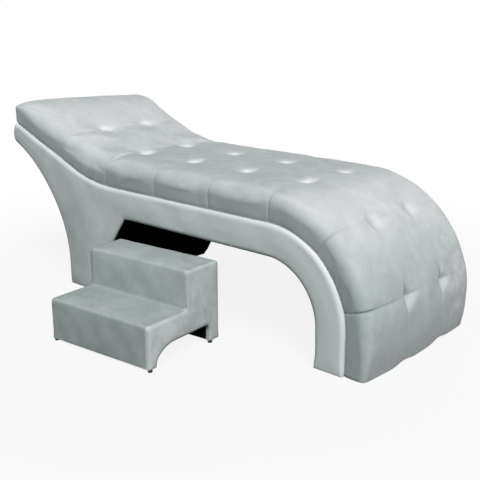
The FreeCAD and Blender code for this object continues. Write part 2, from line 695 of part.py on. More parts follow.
def step_pieces():
    """All pieces of the stool by name, where it stands beside the bed."""
    pieces = {}
    outline = step_outline(True)
    holes = step_screws(SCREW_CLEAR)
    nails = [glide(x, y, STEP_GLIDE_D, STEP_GLIDE, SCREW_CLEAR) for x, y in step_glide_places()]
    for name, side in (("left", 1), ("right", -1)):
        def plate(wire, inner, outer, side=side):
            return slab(wire, min(side * inner, side * outer), max(side * inner, side * outer))
        panel = plate(inset(outline, RIM + GAP), STEP_INSIDE, STEP_INSIDE + PLY)
        cover = round_rim(plate(outline, STEP_INSIDE, STEP_HALF), side * STEP_HALF, STEP_ROUND)
        cover = cover.cut(plate(inset(outline, RIM), STEP_INSIDE - RIM, STEP_HALF - STEP_SKIN))
        pieces["step_%s_panel" % name] = cut_all(panel, holes + nails)
        pieces["step_%s_cover" % name] = cut_all(cover, nails)
    boards = step_boards()
    for name, (x0, x1, z0, z1) in boards.items():
        pieces[name] = cut_all(box(x0, x1, -STEP_INSIDE, STEP_INSIDE, z0, z1), holes)
    closed = step_outline(False)
    half = STEP_INSIDE - GAP
    wrap = slab(closed, -half, half).cut(slab(inset(closed, RIM), -STEP_HALF, STEP_HALF))
    open_floor = box(RIM, STEP_DEPTH - RIM, -STEP_HALF, STEP_HALF, 0, STEP_GLIDE + 2 * RIM)
    pieces["step_wrap_cover"] = wrap.cut(open_floor)
    for name, start, end in (("lower", RIM + GAP, LOWER_TREAD),
                             ("upper", LOWER_TREAD + RIM + GAP, STEP_DEPTH - RIM - GAP)):
        board_top = boards["step_%s_tread_board" % name][3]
        filling = slab(inset(closed, RIM + GAP), -half, half)
        keep = box(start, end, -half, half, board_top + GAP, board_top + GAP + TREAD_FOAM)
        pieces["step_%s_foam" % name] = filling.common(keep)
    front = boards["step_lower_riser_board"]
    tread = boards["step_lower_tread_board"]
    back = boards["step_back_board"]
    pieces["step_lining"] = Part.makeCompound([
        box(front[1], front[1] + LINING, -half, half, front[2], front[3]),
        box(front[1] + LINING, tread[1], -half, half, tread[2] - LINING, tread[2]),
        box(ARCH_END - LINING, ARCH_END, -half, half, back[2], back[3]),
    ])
    pieces["step_screws"] = Part.makeCompound(step_screws())
    feet = [glide(x, y, STEP_GLIDE_D, STEP_GLIDE) for x, y in step_glide_places()]
    pieces["step_glides"] = Part.makeCompound(feet)
    turn = FreeCAD.Rotation(Vector(0, 0, 1), 90.0 + STEP_TURN)
    corner = turn.multVec(Vector(0, STEP_HALF, 0))
    stand = FreeCAD.Placement(Vector(STEP_X, STEP_Y, 0) - corner, turn)
    for solid in pieces.values():
        solid.Placement = stand.multiply(solid.Placement)
    return pieces


def main():
    os.makedirs("parts", exist_ok=True)
    pieces = bed_pieces()
    pieces.update(step_pieces())
    whole = FreeCAD.BoundBox()
    for solid in pieces.values():
        whole.add(solid.optimalBoundingBox(False, False))
    shift = Vector(-whole.Center.x, -whole.Center.y, 0)
    print("shift", shift, "size", whole.XLength, whole.YLength, whole.ZMin, whole.ZMax)
    for name, solid in pieces.items():
        solid.translate(shift)
        print(name, len(solid.Solids), solid.isValid(), round(solid.Volume / 1000.0, 2))
        solid.exportStep("parts/%s.step" % name)


main()
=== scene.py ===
"""Looks of a tufted treatment bed and its step stool, laid out as an add-on.

Metres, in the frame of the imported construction: +X towards the foot end, +Z up.
Side views are drawn with x from the head end of the base.
"""
import math

import bpy
import numpy as np
from bpy.props import FloatProperty, FloatVectorProperty, IntProperty, PointerProperty
from bpy.types import Operator, Panel, PropertyGroup
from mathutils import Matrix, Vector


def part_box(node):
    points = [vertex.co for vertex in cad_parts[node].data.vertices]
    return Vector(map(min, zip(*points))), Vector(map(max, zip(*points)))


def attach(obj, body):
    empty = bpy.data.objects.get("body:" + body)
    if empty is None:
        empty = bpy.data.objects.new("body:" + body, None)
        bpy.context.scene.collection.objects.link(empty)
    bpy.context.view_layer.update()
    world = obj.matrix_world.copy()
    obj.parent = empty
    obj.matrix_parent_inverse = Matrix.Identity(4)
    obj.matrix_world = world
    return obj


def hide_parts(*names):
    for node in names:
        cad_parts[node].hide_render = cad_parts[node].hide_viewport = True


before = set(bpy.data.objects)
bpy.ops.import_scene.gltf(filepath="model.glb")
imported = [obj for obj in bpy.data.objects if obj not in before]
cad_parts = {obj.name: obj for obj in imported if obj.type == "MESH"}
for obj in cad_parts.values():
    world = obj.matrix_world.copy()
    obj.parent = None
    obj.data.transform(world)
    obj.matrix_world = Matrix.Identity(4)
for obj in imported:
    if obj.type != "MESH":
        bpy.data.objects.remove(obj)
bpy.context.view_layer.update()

bl_info = {
    "name": "Treatment Bed",
    "version": (1, 0, 0),
    "blender": (4, 5, 0),
    "location": "3D View > Sidebar > Bed",
    "description": "Velvet covers, tufted pad and linings of a treatment bed with its step stool",
    "category": "Object",
}

SEED = 11
SENSOR_MM = 36.0
# Edges that turn by more than this stay crisp
SHARP = math.radians(50.0)
# Keeps a division from meeting a zero
TINY = 1e-9


def length(label, default, description):
    """A length that a user may change, in metres."""
    return FloatProperty(name=label, description=description, default=default, unit="LENGTH")


def angle(label, degrees, description):
    """An angle that a user may change."""
    return FloatProperty(name=label, description=description, default=math.radians(degrees), subtype="ANGLE")


def share(label, default, description):
    """A plain number from 0 to 1."""
    return FloatProperty(name=label, description=description, default=default, min=0.0, max=1.0)


def number(label, default, description):
    """A plain number that a user may change."""
    return FloatProperty(name=label, description=description, default=default)


def direction(label, default, description):
    """A way in the frame that a user may change."""
    return FloatVectorProperty(name=label, description=description, default=default, subtype="DIRECTION")


def colour(label, default, description):
    """A colour that a user may change."""
    return FloatVectorProperty(name=label, description=description, default=default, subtype="COLOR",
                               min=0.0, max=1.0)


class BedSizes(PropertyGroup):
    """Outline and covers of the bed's base."""
    width: length("Width", 0.700, "Base over its two side covers")
    head_top: length("Head top", 0.656, "Top of the base at the head end")
    head_slope: angle("Head slope", 21.26, "Tilt of the head rest")
    head_rest: length("Head rest", 0.4185, "Straight stretch of the head rest")
    head_bend: length("Head bend", 0.690, "Radius from the head rest into the lounge")
    lounge: length("Lounge", 0.806, "Level stretch of the base")
    foot_bend: length("Foot bend", 0.322, "Outer radius at the foot end")
    band: length("Band", 0.108, "Depth of the side band under the lounge")
    floor_gap: length("Floor gap", 0.001, "Covers stand clear of the floor")
    top_corner: length("Top corner", 0.010, "Rounding at the top of the head end")
    head_corner: length("Head corner", 0.020, "Rounding under the head end")
    leg_front: length("Leg front", 0.353, "Outer face of the head leg at the floor")
    leg_bow: length("Leg bow", 0.540, "Radius of the head leg's outer edge")
    leg_bow_z: length("Bow height", 0.080, "Height where the bow starts")
    leg_foot: length("Leg foot", 0.112, "Head leg along the floor")
    leg_lean: angle("Leg lean", 35.5, "Lean of the head leg's inner edge")
    inner_corner: length("Inner corner", 0.018, "Rounding where the head leg meets the band")
    cover_depth: length("Cover depth", 0.0253, "Side cover from its face to its back")
    edge_round: length("Edge rounding", 0.016, "Rolled edge of a side cover, seen from the side")
    edge_tall: length("Edge height", 0.011, "Rolled edge of a side cover, in from its face")
    crisp_edge: length("Crisp edge", 0.005, "Such an edge at the floor and beside the head leg's lining")
    edge_grow: length("Edge growth", 0.006, "Padding outside the lower edge of the side panels")
    bow_grow: length("Bow growth", 0.013, "More of it half way up the outer edge of the head leg")
    toe: length("Toe", 0.006, "Foot leg flared at the floor")
    head_toe: length("Head toe", 0.012, "Inner edge of the head leg flared at the floor")
    side_crown: length("Side crown", 0.004, "Swell of the padding in the middle of a side")
    side_spread: length("Side spread", 0.040, "How far in from the edge the swell builds up")
    skin: length("Skin", 0.004, "Fabric and wadding on the head end")
    lining_lap: length("Lining lap", 0.0015, "Dust cover outside the edge of the sides")
    lining: length("Lining", 0.0012, "Thickness of a dust cover")
    lining_sag: length("Lining sag", 0.004, "Slack of a dust cover between its edges")


class PadSizes(PropertyGroup):
    """The tufted pad."""
    width: length("Width", 0.684, "Pad is laid out on this; its shoulders lie one swell inside")
    inset: length("Inset", 0.015, "Pad starts this far in from the head end")
    floor_gap: length("Floor gap", 0.001, "Lower edge above the floor")
    clearance: length("Clearance", 0.0006, "Pad above the deck")
    crown: length("Crown", 0.118, "Thickness on the head rest and lounge")
    foot_crown: length("Foot crown", 0.107, "Thickness on the foot drop")
    head_end: length("Head end drop", 0.029, "Crown lower at the head end")
    foot_end: length("Foot end drop", 0.012, "Crown lower at the floor")
    shoulder_in: length("Shoulder in", 0.046, "Shoulder in from the side")
    shoulder_tall: length("Shoulder tall", 0.044, "Height of the rounded shoulder")
    shoulder_drop: length("Shoulder drop", 0.014, "Shoulder below the crown on the lounge")
    head_drop: length("Head shoulder drop", 0.018, "Shoulder below the crown at the head end")
    head_tilt: length("Head tilt", 0.003, "Head end lower at its far corner and higher at its near one")
    head_skew: length("Head skew", 0.018, "Head end drawn in at its far corner and out at its near one")
    foot_drop: length("Foot shoulder drop", 0.010, "Shoulder below the crown on the foot drop")
    head_soft: share("Head softness", 0.3, "Share of the shoulder's rounding at the head end")
    head_round: length("Head rounding", 0.009, "Rounded top edge at the head end")
    foot_round: length("Foot rounding", 0.003, "Rounded edge at the floor")
    near_soft: share("Near softness", 0.5, "Share of the shoulder's rounding at the near corner of the foot")
    far_soft: number("Far softness", 1.3, "The same at the far corner")
    swell: length("Swell", 0.0035, "Shoulders stand out past the lower edge by this much")
    tuck: length("Tuck", 0.006, "Lower edge rolled under")
    seam_depth: length("Seam depth", 0.0006, "Sewn channel below the crown on the head rest and lounge")
    foot_seam: length("Foot seam", 0.0065, "Sewn channel below the crown on the foot drop")
    seam_draw: length("Seam draw", 0.0035, "Sides drawn in at a channel")
    groove: length("Groove", 0.0002, "Stitched line on the head rest and lounge")
    side_groove: length("Side groove", 0.0011, "Stitched line on the shoulders and sides")
    foot_side_groove: length("Foot side groove", 0.0035, "Stitched line on the near side of the foot drop")
    foot_groove: length("Foot groove", 0.0014, "Stitched line on the foot drop")
    groove_wide: length("Groove width", 0.0045, "Half width of the stitched line")
    tuft_depth: length("Tuft depth", 0.0205, "Tuft below the crown on the head rest and lounge")
    foot_tuft: length("Foot tuft", 0.0210, "Tuft below the crown on the foot drop")
    tuft_long: length("Tuft length", 0.029, "Reach of a tuft along the pad on the lounge")
    tuft_wide: length("Tuft width", 0.036, "Reach of a tuft across the pad on the lounge")
    foot_tuft_above: length("Foot tuft above", 0.030, "Reach of a tuft upwards on the foot drop")
    foot_tuft_below: length("Foot tuft below", 0.060, "Reach of a tuft downwards on the foot drop")
    foot_tuft_near: length("Foot tuft near", 0.024, "Reach of a tuft to the near side on the foot drop")
    foot_tuft_far: length("Foot tuft far", 0.075, "Reach of a tuft to the far side on the foot drop")
    tuft_seat: share("Tuft seat", 0.20, "Share of a tuft's depth that spreads wide")
    tuft_spread: number("Tuft spread", 2.3, "The wide share reaches this many times further")
    tuft_y: length("Tuft offset", 0.114, "Tufts from the centreline")
    fold: length("Fold", 0.0004, "Height of the folds that run out from a tuft on the lounge")
    foot_fold: length("Foot fold", 0.0003, "Height of such folds on the foot drop")
    pull: length("Pull", 0.005, "Depth of the crease above a tuft of the foot drop")
    pull_wide: length("Pull width", 0.009, "Half width of that crease")
    pull_long: length("Pull length", 0.075, "Length of that crease")
    ripple: length("Ripple", 0.0007, "Slack of the fabric over the filling")
    notch: length("Notch", 0.010, "Lower edge drawn up below the tufts")
    notch_wide: length("Notch width", 0.045, "Half width of such a place")
    far_lift: length("Far lift", 0.014, "Lower edge higher at the far corner of the foot end")
    far_bend: length("Far bend", 0.005, "Pad lower at the far side of the foot bend")
    rows: IntProperty(name="Rows", description="Sewn rows across the pad", default=7)
    row_first: length("First row", 0.326, "First row along the surface from the head end")
    row_pitch: length("Row pitch", 0.279, "Between rows along the surface")
    row_level: length("Row level", 0.100, "Height above the deck at which rows are spaced")


class StoolSizes(PropertyGroup):
    """The two-step stool, with its depth from its front."""
    width: length("Width", 0.479, "Over its two side covers")
    depth: length("Depth", 0.362, "Front to back")
    tread: length("Tread", 0.194, "Depth of the lower tread")
    lower: length("Lower step", 0.159, "Height of the lower tread")
    upper: length("Upper step", 0.298, "Height of the upper tread")
    glide: length("Glide", 0.010, "Covers above the floor")
    corner: length("Corner", 0.014, "Rounded front and back edges of the treads")
    tuck: length("Tuck", 0.010, "Rounding where the tread meets the riser")
    cover_depth: length("Cover depth", 0.0213, "Side cover from its face to its back")
    edge_round: length("Edge rounding", 0.013, "Rolled edge of a side cover, seen from the side")
    edge_tall: length("Edge height", 0.008, "Rolled edge of a side cover, in from its face")
    crisp_edge: length("Crisp edge", 0.004, "Such an edge near the floor")
    side_crown: length("Side crown", 0.004, "Swell of a side")
    side_spread: length("Side spread", 0.030, "How far in from the edge the swell builds up")
    tread_crown: length("Tread crown", 0.009, "Swell of the tread padding")
    skin: length("Skin", 0.003, "Thickness of the wrapped fabric")
    arch_front: length("Cut-out front", 0.036, "Cut-out in from the front")
    arch_back: length("Cut-out back", 0.052, "Cut-out in from the back")
    arch_tall: length("Cut-out height", 0.062, "Cut-out above the lower edge")
    arch_lean: angle("Cut-out lean", 50.0, "The front of the cut-out leans back by this much")
    arch_bend: length("Cut-out bend", 0.040, "Bend into that lean")
    arch_straight: length("Cut-out straight", 0.002, "Straight before the bend and after it")
    arch_round: length("Cut-out rounding", 0.020, "Back corner of the cut-out")
    lining: length("Lining", 0.0012, "Thickness of the black lining")
    lining_sag: length("Lining sag", 0.0015, "Slack of the lining between its edges")
    lining_half: length("Lining half width", 0.2179, "Lining from the centreline")
    lining_foot: length("Lining foot", 0.013, "Lining above the floor")
    lining_front: length("Lining front", 0.0159, "Front lining in from the front")
    lining_low: length("Lining low", 0.1248, "Lining under the lower tread")
    lining_high: length("Lining high", 0.2644, "Top of the back lining")
    lining_end: length("Lining end", 0.2093, "Lining under the lower tread ends here")
    turn: angle("Turn", 95.13, "The stool's depth from the bed's length")


class Finishes(PropertyGroup):
    """Colours of the covers, linings and frame."""
    # Velvet light and dark are the two ends of the pile's tone: random nap moves it between them, and so do
    # the painted light and shade set per place.
    velvet_light: colour("Velvet light", (0.668, 0.674, 0.686), "Pile brushed towards the light")
    # Painted shade tint: upright faces take this cooler colour where level tops take the light one.
    velvet_shade_tint: colour("Velvet side", (0.620, 0.680, 0.676), "The same on upright faces")
    velvet_dark: colour("Velvet dark", (0.288, 0.336, 0.332), "Pile brushed away from the light")
    # Painted highlight on the walls of tufts that face the light.
    velvet_highlight: colour("Velvet open", (0.74, 0.75, 0.755), "Pile opened where fabric is drawn into a tuft")
    # Painted shade along seams, round tufts and in the stool's tuck.
    velvet_crease_shade: colour("Velvet crease", (0.22, 0.25, 0.25), "Pile pressed into seams and tufts")
    # Painted shade: level tops are made darker by this share.
    painted_shade: share("Pressed pile", 0.20, "How far the pile is laid down on level tops")
    lining: colour("Lining", (0.006, 0.006, 0.006), "Black dust cover")
    plywood_light: colour("Plywood light", (0.62, 0.46, 0.29), "Early wood of the boards")
    plywood_dark: colour("Plywood dark", (0.44, 0.29, 0.16), "Late wood of the boards")
    pine_light: colour("Pine light", (0.68, 0.51, 0.31), "Early wood of the rails")
    pine_dark: colour("Pine dark", (0.50, 0.32, 0.15), "Late wood of the rails")
    steel: colour("Steel", (0.60, 0.55, 0.42), "Zinc-plated screws")
    plastic: colour("Plastic", (0.012, 0.012, 0.012), "Glides")
    twine: colour("Twine", (0.66, 0.60, 0.48), "Tuft ties")


class StudioSettings(PropertyGroup):
    """Floor, lamps and camera."""
    floor: colour("Floor", (0.50, 0.50, 0.50), "Pale floor")
    backdrop: colour("Backdrop", (1.0, 1.0, 1.0), "What the camera sees behind the object")
    floor_white: share("Floor white", 0.88, "How far the floor by the bed is lifted to the backdrop's white")
    floor_bounce: share("Floor bounce", 0.12, "Share of its light that the floor throws back at the bed")
    floor_near: length("Shadow reach", 1.0, "Floor starts to fade into the backdrop at this distance")
    floor_far: length("White reach", 2.6, "Floor is as white as the backdrop from this distance")
    ambient: number("Ambient", 0.06, "Even light from all round")
    key: number("Key", 3.9, "Light of the large soft lamp in watts a square metre")
    key_side: direction("Key side", (0.52, -0.42, 0.74), "Way from the bed to the lamp")
    key_wide: angle("Key width", 32.0, "How wide the lamp looks from the bed")
    fill: number("Fill", 1.9, "Light of the low lamp behind the bed")
    fill_side: direction("Fill side", (-0.62, 0.72, 0.05), "Way from the bed to the lamp behind it")
    fill_wide: angle("Fill width", 30.0, "How wide the lamp behind the bed looks")
    camera: FloatVectorProperty(name="Camera", description="Where the camera stands",
                                default=(2.2303, -2.1657, 1.164), subtype="XYZ", unit="LENGTH")
    elevation: angle("Elevation", 15.995, "Camera looks down by this much")
    azimuth: angle("Azimuth", 42.08, "Way round to the camera")
    lens: number("Lens", 62.36, "Focal length on a 36 mm sensor, millimetres")


# Lines in the side view
def follow(x, z, heading, curve, run):
    """Place and heading after a run along a straight or an arc.

    The chord is run * sin(h) / h along the mean heading, where h is half of the turn.
    """
    half = run * curve / 2
    chord = run * np.sinc(half / np.pi)
    return x + chord * np.cos(heading + half), z + chord * np.sin(heading + half), heading + 2 * half


class SideLine:
    """A line in a side view: straights and arcs, each from the end of the last."""

    def __init__(self, x, z, heading):
        self.end = (x, z, heading)
        self.runs = []

    def straight(self, run):
        return self.add(run, 0.0)

    def bend(self, radius, turn):
        """An arc to the left by a positive turn, to the right by a negative one."""
        return self.add(radius * abs(turn), math.copysign(1.0 / radius, turn))

    def corner(self, turn):
        """A sharp change of heading."""
        x, z, heading = self.end
        self.end = (x, z, heading + turn)
        return self

    def add(self, run, curve):
        self.runs.append((*self.end, run, curve))
        x, z, heading = self.end
        self.end = tuple(float(value) for value in follow(x, z, heading, curve, run))
        return self

    def reach(self, level=0.0):
        """Length of each piece when the line is raised to its left by a level."""
        pieces = np.array(self.runs)
        return pieces[:, 3] * (1.0 - level * pieces[:, 4])

    def stops(self, level=0.0):
        """Distances at which pieces start, and the end."""
        return np.concatenate([[0.0], np.cumsum(self.reach(level))])

    def at(self, distance, level=0.0):
        """Place and heading at distances measured along the line raised by a level."""
        x, z, heading, _, curve = np.array(self.runs).T
        starts = self.stops(level)[:-1]
        piece = np.clip(np.searchsorted(starts, distance, side="right") - 1, 0, len(starts) - 1)
        run = (distance - starts[piece]) / (1.0 - level * curve[piece])
        return follow(x[piece], z[piece], heading[piece], curve[piece], run)


def corner_cut(radius, turn):
    """Straight that a rounded corner takes from each side: radius * tan(turn / 2)."""
    return radius * math.tan(abs(turn) / 2)


def deck_line(bed):
    """Top edge of the base from the head end, over the lounge and down to the floor gap."""
    line = SideLine(0.0, bed.head_top, -bed.head_slope)
    line.straight(bed.head_rest).bend(bed.head_bend, bed.head_slope).straight(bed.lounge)
    line.bend(bed.foot_bend, -math.pi / 2)
    return line.straight(line.end[1] - bed.floor_gap)


def lounge_height(bed):
    """Top of the base where it is level."""
    return deck_line(bed).runs[2][1]


def head_swing(bed):
    """Turn of the head leg's bow up to the rounding under the head end."""
    bow_x = bed.leg_front - bed.leg_bow
    return math.acos((bed.head_corner - bow_x) / (bed.leg_bow + bed.head_corner))


def top_corner(bed):
    """Turn of the rounded corner on top of the head end, what it cuts off, and its line going up."""
    turn = math.pi / 2 + bed.head_slope
    cut = corner_cut(bed.top_corner, turn)
    return turn, cut, SideLine(0.0, bed.head_top - cut, math.pi / 2).bend(bed.top_corner, -turn)


def head_face_line(bed, start_turn):
    """Outer edge of the head end, from part way round its top corner down to the floor."""
    _, cut, corner = top_corner(bed)
    swing = head_swing(bed)
    bow_top = bed.leg_bow_z + (bed.leg_bow + bed.head_corner) * math.sin(swing)
    x, z, heading = corner.at(np.array([start_turn * bed.top_corner]))
    line = SideLine(float(x[0]), float(z[0]), float(heading[0]) + math.pi)
    line.bend(bed.top_corner, start_turn).straight(bed.head_top - cut - bow_top)
    line.bend(bed.head_corner, swing).bend(bed.leg_bow, -swing)
    return line.straight(bed.leg_bow_z - bed.floor_gap)


def leg_inner_line(bed, line):
    """Carry a line on from the outer corner of the head leg: sole, lean, underside, foot leg."""
    under = lounge_height(bed) - bed.band
    turn = math.pi / 2 - bed.leg_lean
    cut = corner_cut(bed.inner_corner, turn)
    line.corner(math.pi / 2).straight(bed.leg_foot).corner(turn)
    line.straight((under - bed.floor_gap) / math.cos(bed.leg_lean) - cut).bend(bed.inner_corner, -turn)
    foot_bend_x = deck_line(bed).runs[3][0]
    line.straight(foot_bend_x - line.end[0]).bend(bed.foot_bend - bed.band, -math.pi / 2)
    return line.straight(line.end[1] - bed.floor_gap)


def bed_offset():
    """Where the head end of the centreline stands in the frame."""
    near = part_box("near_side_cover")[0]
    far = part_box("far_side_cover")[1]
    return np.array([near.x, (near.y + far.y) / 2, 0.0])


# Meshes from grids
def grid_quads(rows, columns):
    """Four corners of every square of a grid."""
    index = np.arange(rows * columns).reshape(rows, columns)
    return np.stack([index[:-1, :-1], index[1:, :-1], index[1:, 1:], index[:-1, 1:]], axis=-1).reshape(-1, 4)


def grid_edge(rows, columns):
    """Indices round the edge of a grid, in order."""
    index = np.arange(rows * columns).reshape(rows, columns)
    return np.concatenate([index[:-1, 0], index[-1, :-1], index[:0:-1, -1], index[0, :0:-1]])


def shell_quads(rows, columns, loops):
    """Faces of a front grid, strips through loops round its edge, and a back grid."""
    edge = grid_edge(rows, columns)
    count = rows * columns
    first_back = count + loops * len(edge)
    rings = [edge]
    rings += [count + loop * len(edge) + np.arange(len(edge)) for loop in range(loops)]
    rings.append(first_back + edge)
    quads = [grid_quads(rows, columns), first_back + grid_quads(rows, columns)[:, ::-1]]
    for ring, after in zip(rings, rings[1:]):
        quads.append(np.stack([np.roll(ring, -1), ring, after, np.roll(after, -1)], axis=-1))
    return np.concatenate(quads)


def outward(points, quads):
    """Turn all faces of a closed skin outwards: its volume, summed over the faces, has to be positive."""
    a, b, c, d = (points[quads[:, corner]] for corner in range(4))
    volume = np.sum(a * np.cross(b, c)) + np.sum(a * np.cross(c, d))
    return quads if volume > 0 else quads[:, ::-1]


def put(name, data):
    """An object of the scene at the origin."""
    item = bpy.data.objects.new(name, data)
    bpy.context.scene.collection.objects.link(item)
    return item


def make_piece(name, points, quads, material):
    """A smooth mesh object at the origin, with its place in its mesh."""
    mesh = bpy.data.meshes.new(name)
    mesh.from_pydata(points.tolist(), [], outward(points, quads).tolist())
    mesh.shade_smooth()
    mesh.set_sharp_from_angle(angle=SHARP)
    mesh.materials.append(material)
    return put(name, mesh)


def make_shell(name, front, loops, back, material):
    """A closed skin from a front grid, loops that carry its edge round, and a back grid."""
    rows, columns, _ = front.shape
    points = np.concatenate([front.reshape(-1, 3), *loops, back.reshape(-1, 3)])
    return make_piece(name, points, shell_quads(rows, columns, len(loops)), material)


def make_panels(name, panels, material):
    """Several closed skins, each from a front and a back grid, in one mesh."""
    points = []
    quads = []
    for front, back in panels:
        rows, columns, _ = front.shape
        skin = np.concatenate([front.reshape(-1, 3), back.reshape(-1, 3)])
        quads.append(outward(skin, shell_quads(rows, columns, 0)) + sum(len(group) for group in points))
        points.append(skin)
    return make_piece(name, np.concatenate(points), np.concatenate(quads), material)


def store(piece, name, values):
    """Keep one number for each point, for the materials."""
    data = piece.data.attributes.new(name, "FLOAT", "POINT").data
    data.foreach_set("value", np.asarray(values, np.float32).ravel())


def store_twice(piece, name, values):
    """The same numbers on the front and on the back of a shell."""
    store(piece, name, np.tile(np.ravel(values), 2))


def read_points(mesh):
    flat = np.empty(len(mesh.vertices) * 3)
    mesh.vertices.foreach_get("co", flat)
    return flat.reshape(-1, 3)


def write_points(mesh, points):
    mesh.vertices.foreach_set("co", points.ravel())
    mesh.update()


def normals_of(mesh):
    flat = np.empty(len(mesh.vertices) * 3)
    mesh.vertex_normals.foreach_get("vector", flat)
    return flat.reshape(-1, 3)


# Shapes of numbers
def ease(value):
    """Smooth step: 3 v^2 - 2 v^3 between 0 and 1."""
    value = np.clip(value, 0.0, 1.0)
    return value * value * (3.0 - 2.0 * value)


# Steps of the running sum for each place that is wanted
FINE_STEPS = 40


def spaced(start, end, count, peaks, reach, gain):
    """Places from start to end, closer round each peak.

    They are even in the running sum of 1 + gain * exp(-(distance / reach)^2).
    """
    fine = np.linspace(start, end, FINE_STEPS * count)
    density = 1.0 + gain * sum(np.exp(-((fine - peak) / reach) ** 2) for peak in peaks)
    total = np.cumsum(density)
    return np.interp(np.linspace(total[0], total[-1], count), total, fine)


RIPPLE_WAVES = 7
# Shortest and longest wave of a ripple, as shares of its nominal one
RIPPLE_STRETCH = (0.6, 1.5)


def ripple(a, b, wave, seed):
    """Soft uneven swell, mostly between -1 and 1: sines in seeded ways, over the root of their number."""
    draw = np.random.default_rng(seed)
    ways = draw.uniform(0, np.pi, RIPPLE_WAVES)
    stretches = draw.uniform(*RIPPLE_STRETCH, RIPPLE_WAVES)
    phases = draw.uniform(0, 2 * np.pi, RIPPLE_WAVES)
    total = 0.0
    for way, stretch, phase in zip(ways, stretches, phases):
        total = total + np.sin(2 * np.pi * (a * np.cos(way) + b * np.sin(way)) / (wave * stretch) + phase)
    return total / math.sqrt(RIPPLE_WAVES)


def paired(stops_a, stops_b, spacing, least=4):
    """Matching distances along two lines, in even steps between each pair of stops."""
    steps = np.maximum(np.diff(stops_a), np.diff(stops_b)) / spacing
    counts = np.maximum(np.ceil(steps).astype(int), least)
    at_stop = np.concatenate([[0], np.cumsum(counts)])
    steps_in_all = np.arange(at_stop[-1] + 1)
    return np.interp(steps_in_all, at_stop, stops_a), np.interp(steps_in_all, at_stop, stops_b)


def edge_steps(radius, count):
    """Distances in from a rounded edge: radius * (1 - cos) in even angles."""
    return radius * (1.0 - np.cos(np.linspace(0.0, np.pi / 2, count)))


# A rounded edge takes at most this share of a line across a side
EDGE_SHARE = 0.3


def ruled_grid(upper, lower, radius, edge_count, inner_count):
    """Grid of straight lines between two rows of points, closer together near both rows."""
    across = np.linalg.norm(lower - upper, axis=1)
    near = np.minimum(radius, EDGE_SHARE * across)
    start = edge_steps(1.0, edge_count)[None, :] * near[:, None] / across[:, None]
    middle = start[:, -1:] + (1.0 - 2 * start[:, -1:]) * np.linspace(0, 1, inner_count + 2)[None, 1:-1]
    places = np.concatenate([start, middle, 1.0 - start[:, ::-1]], axis=1)
    return upper[:, None, :] + (lower - upper)[:, None, :] * places[:, :, None]


def edge_distance(grid):
    """Distance of every point of a flat grid from the grid's outline, row by row."""
    rows, columns, _ = grid.shape
    start = grid.reshape(-1, 2)[grid_edge(rows, columns)]
    along = np.roll(start, -1, axis=0) - start
    squared = np.maximum(np.sum(along ** 2, axis=1), TINY ** 2)
    found = np.empty((rows, columns))
    for row in range(rows):
        offset = grid[row][:, None, :] - start[None, :, :]
        place = np.clip(np.sum(offset * along, axis=2) / squared, 0.0, 1.0)
        found[row] = np.min(np.linalg.norm(offset - place[:, :, None] * along, axis=2), axis=1)
    return found


# Power of the superellipse of a rolled edge
SQUARENESS = 2.2
# Slack of the fabric on a side, and the distance in from its edge over which it builds up
SIDE_RIPPLE = 0.0008
SIDE_RIPPLE_RUN = 0.03


def padded_rise(distance, radius, tall, crown, spread):
    """Rise of a padded face: a rolled edge, then a swell that builds up inwards.

    The roll is a quarter of a superellipse, h * (1 - (1 - d / r)^p)^(1 / p) up to the radius,
    and the swell is crown * (1 - exp(-d / spread)).
    """
    inside = 1.0 - np.minimum(distance / radius, 1.0)
    roll = tall * (1.0 - inside ** SQUARENESS) ** (1.0 / SQUARENESS)
    return roll + crown * (1.0 - np.exp(-distance / spread))


def padded_side(sizes, grid, soft, wave, seed):
    """Rise of a padded side over its flat base, and the distance in from its edge.

    Its rolled edge goes from crisp where soft is 0 to its full rounding where soft is 1.
    """
    distance = edge_distance(grid)
    radius = sizes.crisp_edge + (sizes.edge_round - sizes.crisp_edge) * soft
    tall = sizes.crisp_edge + (sizes.edge_tall - sizes.crisp_edge) * soft
    rise = padded_rise(distance, radius, tall, sizes.side_crown, sizes.side_spread)
    rise = rise - tall + sizes.edge_tall
    slack = SIDE_RIPPLE * ripple(grid[..., 0], grid[..., 1], wave, seed)
    return rise + slack * ease(distance / SIDE_RIPPLE_RUN), distance


# Cloth

# Steps between a free point and one that is held
PIN_LEVELS = 20


def inflate(piece, pins, pressure, stiffness, frames, most):
    """Let the fabric swell over its filling by cloth simulation, held where pins says, and keep the shape."""
    start = read_points(piece.data)
    group = piece.vertex_groups.new(name="held")
    levels = np.round(np.clip(pins, 0.0, 1.0) * PIN_LEVELS).astype(int)
    for level in np.unique(levels):
        group.add(np.flatnonzero(levels == level).tolist(), level / PIN_LEVELS, "REPLACE")
    cloth = piece.modifiers.new("swell", "CLOTH")
    cloth.settings.quality = 5
    cloth.settings.mass = 0.3
    cloth.settings.tension_stiffness = stiffness
    cloth.settings.compression_stiffness = stiffness
    cloth.settings.shear_stiffness = stiffness / 2
    cloth.settings.bending_stiffness = 0.6
    cloth.settings.use_pressure = True
    cloth.settings.uniform_pressure_force = pressure
    cloth.settings.vertex_group_mass = "held"
    cloth.settings.effector_weights.gravity = 0.0
    cloth.collision_settings.use_collision = False
    cloth.point_cache.frame_start = 1
    cloth.point_cache.frame_end = frames
    scene = bpy.context.scene
    for frame_number in range(1, frames + 1):
        scene.frame_set(frame_number)
    swollen = piece.evaluated_get(bpy.context.evaluated_depsgraph_get())
    moved = read_points(swollen.data) - start
    piece.modifiers.remove(cloth)
    piece.vertex_groups.remove(group)
    scene.frame_set(1)
    far = np.linalg.norm(moved, axis=1, keepdims=True)
    write_points(piece.data, start + moved * np.minimum(1.0, most / np.maximum(far, TINY)))


